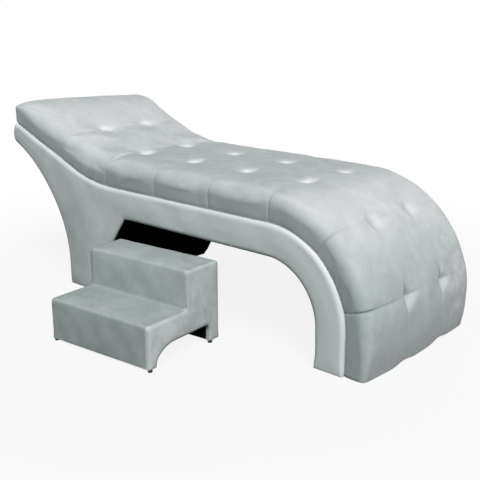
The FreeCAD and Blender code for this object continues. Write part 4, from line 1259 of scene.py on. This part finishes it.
class BED_OT_pad(Operator):
    """Tufted pad: crowned panels between sewn rows, swollen by cloth simulation"""
    bl_idname = "bed.pad"
    bl_label = "Pad"

    def execute(self, context):
        scene = context.scene
        form = PadForm(scene.bed_sizes, scene.pad_sizes)
        puff = PUFF
        mark, offset, height, end_share, side_share = pad_grids(form, *PAD_GRID, puff)
        front, sides, back = pad_skin(form, mark, offset, height, end_share, side_share, SIDE_LOOPS)
        origin = bed_offset()
        sides = [side + origin for side in sides]
        piece = make_shell("pad", front + origin, sides, back + origin, velvet_material(scene.finishes))
        far, way, tuft = form.tufts(mark, offset)
        pins = self.pins(form, mark, offset, far)
        inflate(piece, pins, pressure=4.0, stiffness=12.0, frames=20, most=0.012)
        self.fold(piece, form, mark, offset, far, way, tuft)
        self.mark_pile(piece, form, mark, offset, far, way, side_share)
        dress(piece, "bed", "velvet", "pad_cover", "pad_base_foam", "pad_topper_foam")
        return {"FINISHED"}

    def down_sides(self, values):
        """Numbers of the grid's edge, repeated for each loop down the sides."""
        return np.tile(values.ravel()[grid_edge(*values.shape)], SIDE_LOOPS)

    def pins(self, form, mark, offset, far):
        """Held at sewn rows, tufts, creases and ends, more and more down the sides, and on the underside."""
        sewn = form.line(mark)
        side_sewn = self.down_sides(sewn)
        row = np.maximum(form.between(0.0, Hold.foot_row, mark), Hold.shoulder_row * form.shoulder(offset))
        front = np.maximum(row * sewn, np.exp(-(far / Hold.tuft_reach) ** Hold.tuft_power))
        from_end = np.minimum(mark - form.start, form.end - mark)
        front = np.maximum(front, Hold.end * (1.0 - ease(from_end / Hold.end_reach)))
        front = np.maximum(front, Hold.pull * form.pulled(mark, offset))
        fall = np.linspace(Hold.side_top, 1.0, SIDE_LOOPS).repeat(len(side_sewn) // SIDE_LOOPS)
        side = np.maximum(fall, Hold.side_row * side_sewn)
        return np.concatenate([front.ravel(), side, np.ones(mark.size)])

    def mark_pile(self, piece, form, mark, offset, far, way, side_share):
        """Painted shade in seams and tufts, painted highlights on tuft walls that face the light, painted
        light and shade by place, and crushed patches.
        """
        pitch = form.pad.row_pitch
        under = np.zeros(mark.size)
        # Painted shade along the sewn rows, round the tufts and up the creases above the foot drop's tufts.
        sewn = Pile.sewn * np.minimum(form.groove(mark, offset) / form.pad.foot_groove, Pile.most_sewn)
        crease = np.maximum(form.between(Pile.sewn_lounge, 1.0, mark) * sewn,
                            Pile.tuft * np.exp(-(far / Pile.tuft_reach) ** 2))
        crease = np.maximum(crease, Pile.pull * form.pulled(mark, offset))
        side_crease = Pile.side_sewn * self.down_sides(form.line(mark))
        side_crease = side_crease * self.down_sides(form.between(Pile.side_lounge, 1.0, mark))
        store(piece, "crease", np.concatenate([crease.ravel(), side_crease, under]))
        # Painted highlight on the side of each tuft's wall that faces the light.
        lit_foot = np.maximum(np.cos(way - Pile.highlight_turn), 0.0)
        lit = form.between(0.5 - 0.5 * np.sin(way), lit_foot, mark)
        wall = np.exp(-((far - Pile.highlight_middle) / Pile.highlight_reach) ** 2)
        painted_highlight = form.between(Pile.highlight_lounge, Pile.highlight_foot, mark) * lit * wall
        store(piece, "painted_highlight", np.concatenate([painted_highlight.ravel(), np.zeros(len(side_crease)), under]))
        # Painted light and shade by place: lighter on the head rest and the foot bend, darker on the lounge,
        # low on the foot drop and down the sides.
        head = 1.0 - ease((mark - form.rows[0]) / (Pile.head_rows * pitch))
        bend = np.exp(-((mark - form.rows[-3] - Pile.bend_row * pitch) / Pile.bend_reach) ** 2)
        low = ease((mark - form.rows[-2]) / Pile.low_run)
        middle = np.exp(-((mark - form.rows[3]) / Pile.middle_reach) ** 2)
        sides = Pile.sides - Pile.sides_low * low - Pile.sides_middle * middle
        lounge = Pile.lounge * form.between(1.0, 0.0, mark) * (1.0 - head)
        painted_light = Pile.head * head + Pile.bend * bend - Pile.low * low - lounge
        painted_light = painted_light - sides * np.abs(side_share) ** Pile.side_power
        crushed = Pile.crushed * low * ease((offset - Pile.crushed_start) / Pile.crushed_run)
        for name, values in (("painted_light", painted_light), ("crushed", crushed)):
            store(piece, name, np.concatenate([values.ravel(), self.down_sides(values), under]))

    def fold(self, piece, form, mark, offset, far, way, tuft):
        """Raise small folds round each tuft, fold * far * exp(1 - far) * cos(n way), and a slack ripple."""
        pad = form.pad
        draw = np.random.default_rng(SEED)
        phase = draw.uniform(0, 2 * np.pi, 2 * pad.rows)[tuft]
        folds = draw.integers(*FOLD_COUNTS, 2 * pad.rows)[tuft]
        tall = form.between(pad.fold, pad.foot_fold, mark)
        lift = tall * far * np.exp(1.0 - far) * np.cos(folds * way + phase)
        lift = lift + pad.ripple * ripple(mark, offset, PAD_WAVE, SEED)
        points = read_points(piece.data)
        count = mark.size
        points[:count] += normals_of(piece.data)[:count] * lift.reshape(-1, 1)
        points[:, 2] = np.maximum(points[:, 2], pad.floor_gap / 2)
        write_points(piece.data, points)


# Covers of the base

# Stops of a side cover's upper edge: the end of the lounge, and the floor
LOUNGE_END = 4
UPPER_FLOOR = 6
# Stops of its lower edge: both ends of the head leg's sole, then the underside, the foot leg and its sole
SOLE_OUTER = 5
SOLE_INNER = 6
UNDERSIDE = 8
FOOT_LEG = 10
LOWER_FLOOR = 11
# The two edges part this far before the middle of the top corner, as an angle
PART_TURN = 0.2
# Height and reach of the hump on the outer edge of the head leg
HUMP_HEIGHT = 0.46
HUMP_REACH = 0.17
# The padding outside the lower edge builds up over these lengths from the floor and the top corner
GROW_FROM_FLOOR = 0.045
GROW_FROM_TOP = 0.03
# Heights over which the legs flare at the floor, and the share of padding that the foot leg loses on the way
HEAD_TOE_REACH = 0.06
FOOT_TOE_REACH = 0.04
FOOT_LEG_RUN = 0.10
FOOT_LEG_LOSS = 0.5


def side_lines(bed):
    """Upper and lower edge of a side cover, starting close together on its top corner."""
    turn, cut, corner = top_corner(bed)
    start_turn = turn / 2 - PART_TURN
    x, z, heading = corner.at(np.array([(turn - start_turn) * bed.top_corner]))
    upper = SideLine(float(x[0]), float(z[0]), float(heading[0])).bend(bed.top_corner, -start_turn)
    for _, _, _, run, curve in deck_line(bed).runs:
        upper.add(run - cut if len(upper.runs) == 1 else run, curve)
    lower = leg_inner_line(bed, head_face_line(bed, start_turn))
    return upper, lower


# How far each line across a side cover leans towards the foot, at the lower edge's stops
LEANS = (0.006, 0.030, 0.034, -0.020, 0.010, -0.012, 0.0, 0.0)


def edge_growth(bed, height, distance, outer):
    """Padding outside the lower edge of the sides: none at the floor and at the top corner.

    On the outer edge of the head leg it has a hump, exp(-(height from its middle / reach)^2).
    """
    hump = bed.bow_grow * outer * np.exp(-((height - HUMP_HEIGHT) / HUMP_REACH) ** 2)
    from_floor = ease((height - bed.floor_gap) / GROW_FROM_FLOOR)
    return (bed.edge_grow + hump) * from_floor * ease(distance / GROW_FROM_TOP)


def inner_toe(bed, height):
    """Flare of the head leg's inner edge: toe * exp(-(height / reach)^2)."""
    return bed.head_toe * np.exp(-(height / HEAD_TOE_REACH) ** 2)


class BED_OT_side_covers(Operator):
    """Padded covers of the base's two sides"""
    bl_idname = "bed.side_covers"
    bl_label = "Side covers"

    spacing = 0.008
    edge_rows = 8
    inner_rows = 16
    floor_rows = 5
    fine_steps = 4000
    wave = 0.22
    soft_from_floor = 0.05
    lining_reach = 0.035
    lining_top = 0.02
    lining_fade = 0.03

    def execute(self, context):
        bed = context.scene.bed_sizes
        upper, lower = side_lines(bed)
        grid = self.flat_grid(bed, upper, lower)
        soft = ease((grid[..., 1] - bed.floor_gap) / self.soft_from_floor)
        soft = soft * (1.0 - self.beside_lining(bed, grid))
        rise, _ = padded_side(bed, grid, soft, self.wave, SEED + 1)
        # Painted light and shade on the sides, set by place.
        painted_light = self.painted_light(grid)
        origin = bed_offset()
        base = bed.width / 2 - bed.edge_tall - bed.side_crown
        back_y = bed.width / 2 - bed.cover_depth
        for name, side in (("near", -1), ("far", 1)):
            front = np.stack([grid[..., 0], side * (base + rise), grid[..., 1]], axis=-1) + origin
            back = np.stack([grid[..., 0], np.full_like(rise, side * back_y), grid[..., 1]], axis=-1) + origin
            piece = make_shell(name + "_side", front, [], back, velvet_material(context.scene.finishes))
            store_twice(piece, "painted_light", painted_light)
            dress(piece, "bed", "velvet", name + "_side_cover", name + "_side_foam")
        return {"FINISHED"}

    def flat_grid(self, bed, upper, lower):
        """Side view of the cover as a grid of lines from its upper to its lower edge."""
        low = lower.stops()
        up = upper.stops()
        fine = np.linspace(0.0, up[LOUNGE_END], self.fine_steps)
        wanted = lower.at(low[1:UNDERSIDE + 1])[0] + np.array(LEANS)
        matched = np.interp(wanted, upper.at(fine)[0], fine)
        last = edge_steps(bed.crisp_edge, self.floor_rows)[:0:-1]
        up_stops = np.concatenate([[0.0], matched, up[LOUNGE_END:UPPER_FLOOR], up[UPPER_FLOOR] - last,
                                   up[UPPER_FLOOR:]])
        low_stops = np.concatenate([low[:LOWER_FLOOR], low[LOWER_FLOOR] - last, low[LOWER_FLOOR:]])
        along_up, along_low = paired(up_stops, low_stops, self.spacing, 2)
        top = np.stack(upper.at(along_up)[:2], axis=-1)
        x, z, heading = lower.at(along_low)
        growth = edge_growth(bed, z, along_low, along_low < low[SOLE_OUTER])
        down_leg = ease((along_low - low[FOOT_LEG]) / FOOT_LEG_RUN)
        flare = bed.toe * down_leg * np.exp(-(z / FOOT_TOE_REACH) ** 2)
        growth = growth * (1.0 - FOOT_LEG_LOSS * down_leg) + flare
        inner = np.clip((along_low - low[SOLE_OUTER]) / (low[SOLE_INNER] - low[SOLE_OUTER]), 0.0, 1.0)
        x = x + inner * (along_low < low[UNDERSIDE]) * inner_toe(bed, z)
        bottom = np.stack([x + growth * np.sin(heading), z - growth * np.cos(heading)], axis=-1)
        return ruled_grid(top, bottom, bed.edge_round, self.edge_rows, self.inner_rows)

    def beside_lining(self, bed, grid):
        """1 along the head leg's inner edge: exp(-(distance / reach)^2) from its line, below the band."""
        ahead = grid[..., 0] - bed.leg_front - bed.leg_foot
        up = grid[..., 1] - bed.floor_gap
        away = ahead * math.cos(bed.leg_lean) - up * math.sin(bed.leg_lean)
        low = ease((lounge_height(bed) - bed.band + self.lining_top - grid[..., 1]) / self.lining_fade)
        return np.exp(-(away / self.lining_reach) ** 2) * low

    def painted_light(self, grid):
        """Painted light and shade on the pile's tone: darker on the head leg and along the lower edge,
        lighter on the foot leg.
        """
        band_tone, foot_tone, low_tone = 0.32, 0.22, 0.30
        x = grid[..., 0]
        leg = -0.10 + 0.28 * ease((grid[..., 1] - 0.20) / 0.25)
        head = 1.0 - ease((x - 0.35) / 0.25)
        foot = ease((x - 1.20) / 0.35)
        from_low = np.linalg.norm(grid - grid[:, -1:], axis=-1)
        low_edge = 1.0 - ease(from_low / 0.030)
        return band_tone + (leg - band_tone) * head + foot_tone * foot - low_tone * low_edge


def band_grid(line, first, last, rows):
    """Places, left-hand normals and distances along part of a line, from one stop to another."""
    stops = line.stops()
    part = stops[first:last + 1]
    distance, _ = paired(part, part, (part[-1] - part[0]) / rows, 5)
    x, z, heading = line.at(distance)
    normal = np.stack([-np.sin(heading), np.cos(heading)], axis=-1)
    return np.stack([x, z], axis=-1), normal, distance


def carry(path, normal, offsets, lift, origin):
    """Grid of points: a side-view path carried across the bed and lifted along its normals."""
    lifted = path[:, None, :] + normal[:, None, :] * lift[:, :, None]
    across = np.broadcast_to(offsets[None, :], lift.shape)
    return np.stack([lifted[..., 0], across, lifted[..., 1]], axis=-1) + origin


class BED_OT_head_cover(Operator):
    """Fabric over the head end and down the outer face of the head leg"""
    bl_idname = "bed.head_cover"
    bl_label = "Head end cover"

    rows = 110
    columns = 60
    side_gap = 0.0003
    crown = 0.0022
    crown_run = 0.02
    sunk = 0.003
    slack = 0.0004
    wave = 0.2

    def execute(self, context):
        bed = context.scene.bed_sizes
        line = head_face_line(bed, math.pi / 2 + bed.head_slope)
        path, normal, distance = band_grid(line, 0, len(line.runs), self.rows)
        half = bed.width / 2 - bed.cover_depth - self.side_gap
        offsets = spaced(-half, half, self.columns, (-half, half), 0.02, 5.0)
        from_side = half - np.abs(offsets)[None, :]
        swell = self.crown * (1.0 - np.exp(-from_side / self.crown_run)) - self.sunk
        lift = swell + edge_growth(bed, path[:, 1], distance, 1.0)[:, None]
        lift = lift + self.slack * ripple(distance[:, None], offsets[None, :], self.wave, SEED + 2)
        origin = bed_offset()
        front = carry(path, -normal, offsets, lift, origin)
        back = carry(path, -normal, offsets, np.full(lift.shape, -bed.skin), origin)
        piece = make_shell("head_cover", front, [], back, velvet_material(context.scene.finishes))
        dress(piece, "bed", "velvet", "head_end_cover")
        return {"FINISHED"}


class BED_OT_dust_covers(Operator):
    """Black linings inside the two legs and under the lounge"""
    bl_idname = "bed.dust_covers"
    bl_label = "Dust covers"

    rows = 60
    columns = 40
    face_gap = 0.001
    sag_power = 0.7

    def execute(self, context):
        bed = context.scene.bed_sizes
        line = leg_inner_line(bed, SideLine(bed.leg_front, bed.floor_gap, -math.pi / 2))
        flat_back = bed.width / 2 - bed.side_crown - self.face_gap
        origin = bed_offset()
        spans = (("head_leg", 1, 3, bed.crisp_edge), ("underside", 3, 4, bed.edge_tall),
                 ("foot_leg", 4, 6, bed.edge_tall))
        for name, first, last, edge in spans:
            half = flat_back - edge
            offsets = np.linspace(-half, half, self.columns)
            path, normal, distance = band_grid(line, first, last, self.rows)
            path[:, 0] += (name == "head_leg") * inner_toe(bed, path[:, 1])
            share_along = (distance - distance[0]) / (distance[-1] - distance[0])
            slack = np.sin(np.pi * share_along)[:, None] * np.cos(np.pi * offsets / (2 * half))[None, :]
            outside = bed.lining_lap + edge_growth(bed, path[:, 1], distance, 0.0)
            lift = -outside[:, None] - bed.lining_sag * slack ** self.sag_power
            front = carry(path, normal, offsets, lift, origin)
            back = carry(path, normal, offsets, lift + bed.lining, origin)
            piece = make_shell(name + "_lining", front, [], back, lining_material(context.scene.finishes))
            dress(piece, "bed", "black_lining", name + "_dust_cover")
        return {"FINISHED"}


# The step stool
class StoolPlace:
    """Turns points given by depth, offset and height into the frame."""

    def __init__(self, stool):
        low = np.minimum(*(np.array(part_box("step_%s_cover" % side)[0]) for side in ("left", "right")))
        high = np.maximum(*(np.array(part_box("step_%s_cover" % side)[1]) for side in ("left", "right")))
        self.middle = (low + high) / 2
        self.stool = stool

    def at(self, depth, offset, height):
        ahead = depth - self.stool.depth / 2
        turn_cos = math.cos(self.stool.turn)
        turn_sin = math.sin(self.stool.turn)
        x = self.middle[0] + ahead * turn_cos - offset * turn_sin
        y = self.middle[1] + ahead * turn_sin + offset * turn_cos
        return np.stack([x, y, np.broadcast_to(height, np.shape(x))], axis=-1)

    def carry(self, path, normal, offsets, lift):
        """Grid of points: a side-view path carried across the stool and lifted along its normals."""
        lifted = path[:, None, :] + normal[:, None, :] * lift[:, :, None]
        return self.at(lifted[..., 0], np.broadcast_to(offsets[None, :], lift.shape), lifted[..., 1])


def step_line(stool, start):
    """Treads and risers from a height on the front, over both steps and down the back."""
    quarter = math.pi / 2
    line = SideLine(0.0, start, quarter).straight(stool.lower - stool.corner - start)
    line.bend(stool.corner, -quarter).straight(stool.tread - stool.corner - stool.tuck)
    line.bend(stool.tuck, quarter).straight(stool.upper - stool.lower - stool.tuck - stool.corner)
    line.bend(stool.corner, -quarter).straight(stool.depth - stool.tread - 2 * stool.corner)
    line.bend(stool.corner, -quarter)
    return line.straight(line.end[1] - stool.glide)


def sole_line(stool):
    """Lower edge of a side from front to back; the front of its cut-out leans and sweeps into its top."""
    quarter = math.pi / 2
    bend = corner_cut(stool.arch_bend, stool.arch_lean)
    tall = stool.arch_tall - stool.arch_straight - bend
    sweep = tall / math.cos(stool.arch_lean) - bend - stool.arch_straight
    sweep_radius = sweep / math.tan((quarter - stool.arch_lean) / 2)
    line = SideLine(0.0, stool.glide, 0.0).straight(stool.arch_front)
    line.corner(quarter).straight(stool.arch_straight).bend(stool.arch_bend, -stool.arch_lean)
    line.straight(stool.arch_straight).bend(sweep_radius, stool.arch_lean - quarter)
    line.straight(stool.depth - stool.arch_back - stool.arch_round - line.end[0])
    line.bend(stool.arch_round, -quarter).straight(stool.arch_tall - stool.arch_round).corner(quarter)
    return line.straight(stool.arch_back)


class BED_OT_stool_sides(Operator):
    """Padded covers of the stool's two sides"""
    bl_idname = "bed.stool_sides"
    bl_label = "Stool sides"

    spacing = 0.006
    edge_rows = 8
    inner_rows = 12
    wave = 0.12
    soft_from_floor = 0.03
    rim_reach = 1.6
    crushed = 0.4

    def execute(self, context):
        stool = context.scene.stool_sizes
        grid = self.flat_grid(stool)
        soft = ease((grid[..., 1] - stool.glide) / self.soft_from_floor)
        rise, distance = padded_side(stool, grid, soft, self.wave, SEED + 3)
        # Painted shade on the rolled rims, more on the left side than on the right, and painted light towards
        # the front of each side.
        rim = 1.0 - ease(distance / (self.rim_reach * stool.edge_round))
        face = 0.10 + 0.22 * ease((0.16 - grid[..., 0]) / 0.08)
        stand = StoolPlace(stool)
        base = stool.width / 2 - stool.edge_tall - stool.side_crown
        back_y = stool.width / 2 - stool.cover_depth
        for name, side, rim_fall in (("left", 1, 0.75), ("right", -1, 0.30)):
            front = stand.at(grid[..., 0], side * (base + rise), grid[..., 1])
            back = stand.at(grid[..., 0], np.full_like(rise, side * back_y), grid[..., 1])
            velvet = velvet_material(context.scene.finishes)
            piece = make_shell("stool_%s_side" % name, front, [], back, velvet)
            store_twice(piece, "painted_light", face - rim_fall * rim)
            store_twice(piece, "crushed", self.crushed * (1.0 - rim))
            dress(piece, "step", "velvet", "step_%s_cover" % name)
        return {"FINISHED"}

    def flat_grid(self, stool):
        """Side view as lines from the steps down to the lower edge; the riser's lines fan out.

        The small lengths place the lines beside corners, so that none of them cross.
        """
        upper = step_line(stool, stool.lower - stool.corner - 0.0001)
        lower = sole_line(stool)
        up = upper.stops()
        low = lower.stops()
        tread = up[2] - stool.corner
        swept = [run[0] for run in lower.runs[3:6]]
        fan = stool.tread - swept[2] + low[5]
        arch_start = tread + stool.arch_front
        arch_end = up[6] - stool.corner - stool.tread + stool.depth - stool.arch_back
        up_stops = np.array([up[1], up[2], arch_start, arch_start + 0.004,
                             *(tread + depth for depth in swept), up[3], up[4], up[5], up[6],
                             arch_end - stool.arch_round, arch_end - 0.008, arch_end - 0.002, up[7], up[8]])
        low_stops = np.array([0.0, 0.020, *low[1:6], fan - 0.014, fan - 0.010, fan + 0.010,
                              fan + 0.022, *low[6:9], low[9] - 0.016, low[9]])
        along_up, along_low = paired(up_stops, low_stops, self.spacing, 3)
        top = np.stack(upper.at(along_up)[:2], axis=-1)
        bottom = np.stack(lower.at(along_low)[:2], axis=-1)
        return ruled_grid(top, bottom, stool.edge_round, self.edge_rows, self.inner_rows)


class BED_OT_stool_wrap(Operator):
    """Fabric wrapped over the stool's front, treads, riser and back"""
    bl_idname = "bed.stool_wrap"
    bl_label = "Stool wrap"

    spacing = 0.006
    columns = 72
    side_gap = 0.00005
    upright_crown = 0.4
    crown_power = 0.7
    crown_run = 0.035
    slack = 0.0009
    wave = 0.11
    crease = 0.5
    crease_reach = 0.009

    def execute(self, context):
        stool = context.scene.stool_sizes
        line = step_line(stool, stool.glide)
        stops = line.stops()
        distance, _ = paired(stops, stops, self.spacing, 7)
        depth, height, heading = line.at(distance)
        normal = np.stack([-np.sin(heading), np.cos(heading)], axis=-1)
        half = stool.width / 2 - stool.cover_depth - self.side_gap
        offsets = spaced(-half, half, self.columns, (-half, half), 0.012, 5.0)
        crown = np.zeros_like(distance)
        for first, full in zip(range(0, 10, 2), (self.upright_crown, 1.0) * 2 + (self.upright_crown,)):
            along = np.clip((distance - stops[first]) / (stops[first + 1] - stops[first]), 0.0, 1.0)
            crown = crown + full * stool.tread_crown * np.sin(np.pi * along) ** self.crown_power
        from_side = half - np.abs(offsets)
        across = 1.0 - np.exp(-(from_side / self.crown_run) ** 2)
        lift = crown[:, None] * across[None, :]
        uneven = ripple(distance[:, None], offsets[None, :], self.wave, SEED + 4)
        lift = lift + self.slack * across[None, :] * uneven
        stand = StoolPlace(stool)
        path = np.stack([depth, height], axis=-1)
        front = stand.carry(path, normal, offsets, lift)
        back = stand.carry(path, normal, offsets, np.full(lift.shape, -stool.skin))
        piece = make_shell("stool_wrap", front, [], back, velvet_material(context.scene.finishes))
        # Painted light and shade on the front, riser, treads and rounded edges.
        painted_light = self.painted_light(stool, height, normal[:, 1])
        store_twice(piece, "painted_light", np.broadcast_to(painted_light[:, None], lift.shape))
        # Painted shade in the tuck where the lower tread meets the riser.
        tuck = (stops[3] + stops[4]) / 2
        crease = self.crease * np.exp(-((distance - tuck) / self.crease_reach) ** 2)
        store_twice(piece, "crease", np.broadcast_to(crease[:, None], lift.shape))
        dress(piece, "step", "velvet", "step_wrap_cover", "step_lower_foam", "step_upper_foam")
        return {"FINISHED"}

    def painted_light(self, stool, height, upward):
        """Painted light and shade on the pile's tone: dark on front and riser, less so on the treads, darkest
        on rounded edges.
        """
        front_tone, riser_more, tread_tone, edge_fall = -0.42, 0.15, -0.25, 0.8
        level = ease((upward - 0.3) / 0.5)
        fall = front_tone + riser_more * (height > stool.lower)
        return fall + (tread_tone - fall) * level - edge_fall * np.clip(upward, 0.0, 1.0) * (1.0 - upward)


class BED_OT_stool_lining(Operator):
    """Black lining inside the stool: behind its front, under its lower tread and before its back legs"""
    bl_idname = "bed.stool_lining"
    bl_label = "Stool lining"

    rows = 24
    columns = 30

    def execute(self, context):
        stool = context.scene.stool_sizes
        up = math.pi / 2
        before_legs = stool.depth - stool.arch_back - stool.lining / 2
        runs = ((stool.lining_front, stool.lining_foot, up, stool.lining_low - stool.lining_foot),
                (stool.lining_front, stool.lining_low, 0.0, stool.lining_end - stool.lining_front),
                (before_legs, stool.lining_foot, up, stool.lining_high - stool.lining_foot))
        half = stool.lining_half
        offsets = np.linspace(-half, half, self.columns)
        stand = StoolPlace(stool)
        panels = []
        for x, z, heading, run in runs:
            line = SideLine(x, z, heading).straight(run)
            path, normal, distance = band_grid(line, 0, 1, self.rows)
            slack = np.sin(np.pi * distance / run)[:, None] * np.cos(np.pi * offsets / (2 * half))[None, :]
            lift = -stool.lining_sag * slack - stool.lining / 2
            panels.append((stand.carry(path, normal, offsets, lift),
                           stand.carry(path, normal, offsets, lift + stool.lining)))
        piece = make_panels("stool_lining", panels, lining_material(context.scene.finishes))
        dress(piece, "step", "black_lining", "step_lining")
        return {"FINISHED"}


class BED_OT_frame_finishes(Operator):
    """Wood, steel, plastic and twine on the pieces that keep their solids"""
    bl_idname = "bed.frame_finishes"
    bl_label = "Frame finishes"

    def execute(self, context):
        finish = context.scene.finishes
        plywood = wood_material("birch_plywood", finish.plywood_light, finish.plywood_dark, rings=55.0)
        pine = wood_material("planed_pine", finish.pine_light, finish.pine_dark, rings=34.0)
        steel = plain_material("zinc_steel", finish.steel, dull=0.48, smooth=0.30, metal=1.0,
                               grain_scale=1500.0)
        plastic = plain_material("moulded_plastic", finish.plastic, dull=0.75, smooth=0.60, metal=0.0,
                                 grain_scale=1200.0)
        twine = plain_material("tuft_twine", finish.twine, dull=0.95, smooth=0.85, metal=0.0,
                               grain_scale=800.0)
        endings = (("_panel", plywood), ("_board", plywood), ("_screws", steel), ("_glides", plastic),
                   ("_anchors", plywood), ("_ties", twine))
        for name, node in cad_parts.items():
            chosen = next((material for ending, material in endings if name.endswith(ending)), pine)
            node.data.materials.clear()
            node.data.materials.append(chosen)
        return {"FINISHED"}


class BED_OT_studio(Operator):
    """Pale floor, a large soft lamp in front, a low one behind, even ambient light and the camera"""
    bl_idname = "bed.studio"
    bl_label = "Studio"

    def execute(self, context):
        studio = context.scene.studio_settings
        context.scene.view_settings.view_transform = "Standard"
        self.floor(studio)
        self.world(studio)
        self.lamp("key", studio.key_side, studio.key, studio.key_wide)
        self.lamp("fill", studio.fill_side, studio.fill, studio.fill_wide)
        self.camera(studio)
        return {"FINISHED"}

    def seen(self, tree):
        """1 for what the camera sees straight on, in a mirror or through glass."""
        path = add_node(tree, "ShaderNodeLightPath")
        direct = reckon(tree, "MAXIMUM", (path, "Is Camera Ray"), (path, "Is Glossy Ray"))
        return reckon(tree, "MAXIMUM", (direct, "Value"), (path, "Is Transmission Ray"))

    def floor(self, studio):
        """A wide flat floor that keeps a soft shadow and is otherwise almost white to the camera."""
        reach = 30.0
        mesh = bpy.data.meshes.new("floor")
        corners = [(-reach, -reach, 0), (reach, -reach, 0), (reach, reach, 0), (-reach, reach, 0)]
        mesh.from_pydata(corners, [], [(0, 1, 2, 3)])
        floor = put("floor", mesh)
        material = bpy.data.materials.new("floor")
        material.use_nodes = True
        tree = material.node_tree
        tree.nodes.clear()
        white = add_node(tree, "ShaderNodeEmission", {"Color": (*studio.backdrop, 1.0)})
        seen = self.seen(tree)
        dim = tinted(studio.floor, studio.floor_bounce)
        tone = colour_mix(tree, dim, studio.floor, seen, "Value")
        matt = add_node(tree, "ShaderNodeBsdfDiffuse")
        link(tree, tone, "Result", matt, "Color")
        place = add_node(tree, "ShaderNodeTexCoord")
        away = add_node(tree, "ShaderNodeVectorMath", operation="LENGTH")
        link(tree, place, "Object", away, 0)
        faded = (studio.floor_near, studio.floor_far)
        fade = stretch_range(tree, away, "Value", faded, (studio.floor_white, 1.0))
        lifted = reckon(tree, "MULTIPLY", (seen, "Value"), (fade, "Result"))
        mix = add_node(tree, "ShaderNodeMixShader")
        link(tree, lifted, "Value", mix, 0)
        link(tree, matt, "BSDF", mix, 1)
        link(tree, white, "Emission", mix, 2)
        end = add_node(tree, "ShaderNodeOutputMaterial")
        link(tree, mix, "Shader", end, "Surface")
        mesh.materials.append(material)

    def world(self, studio):
        """Even ambient light, white where it is seen."""
        world = bpy.data.worlds.new("studio")
        bpy.context.scene.world = world
        world.use_nodes = True
        tree = world.node_tree
        background = tree.nodes["Background"]
        background.inputs["Color"].default_value = (*studio.backdrop, 1.0)
        seen = self.seen(tree)
        strength = stretch_range(tree, seen, "Value", (0.0, 1.0), (studio.ambient, 1.0))
        link(tree, strength, "Result", background, "Strength")

    def lamp(self, name, side, energy, wide):
        """A large soft lamp, far off, so that it lights both ends of the bed alike."""
        data = bpy.data.lights.new(name, "SUN")
        data.energy = energy
        data.angle = wide
        put(name, data).rotation_euler = side.to_track_quat("Z", "Y").to_euler()

    def camera(self, studio):
        data = bpy.data.cameras.new("camera")
        data.lens = studio.lens
        data.sensor_width = SENSOR_MM
        camera = put("camera", data)
        camera.location = studio.camera
        camera.rotation_euler = (math.pi / 2 - studio.elevation, 0.0, studio.azimuth)
        bpy.context.scene.camera = camera


PIECES = (BED_OT_frame_finishes, BED_OT_pad, BED_OT_side_covers, BED_OT_head_cover, BED_OT_dust_covers,
          BED_OT_stool_sides, BED_OT_stool_wrap, BED_OT_stool_lining, BED_OT_studio)
SETTINGS = {"bed_sizes": BedSizes, "pad_sizes": PadSizes, "stool_sizes": StoolSizes, "finishes": Finishes,
            "studio_settings": StudioSettings}


class BED_PT_pieces(Panel):
    """Pieces of the bed and its stool"""
    bl_label = "Treatment Bed"
    bl_idname = "BED_PT_pieces"
    bl_space_type = "VIEW_3D"
    bl_region_type = "UI"
    bl_category = "Bed"

    def draw(self, context):
        for piece in PIECES:
            self.layout.operator(piece.bl_idname)


def register():
    for settings in SETTINGS.values():
        bpy.utils.register_class(settings)
    for name, settings in SETTINGS.items():
        setattr(bpy.types.Scene, name, PointerProperty(type=settings))
    for piece in PIECES:
        bpy.utils.register_class(piece)
    bpy.utils.register_class(BED_PT_pieces)


def unregister():
    bpy.utils.unregister_class(BED_PT_pieces)
    for piece in reversed(PIECES):
        bpy.utils.unregister_class(piece)
    for name, settings in SETTINGS.items():
        delattr(bpy.types.Scene, name)
        bpy.utils.unregister_class(settings)


def main():
    register()
    for piece in PIECES:
        group, name = piece.bl_idname.split(".")
        getattr(getattr(bpy.ops, group), name)()


if __name__ == "__main__":
    main()
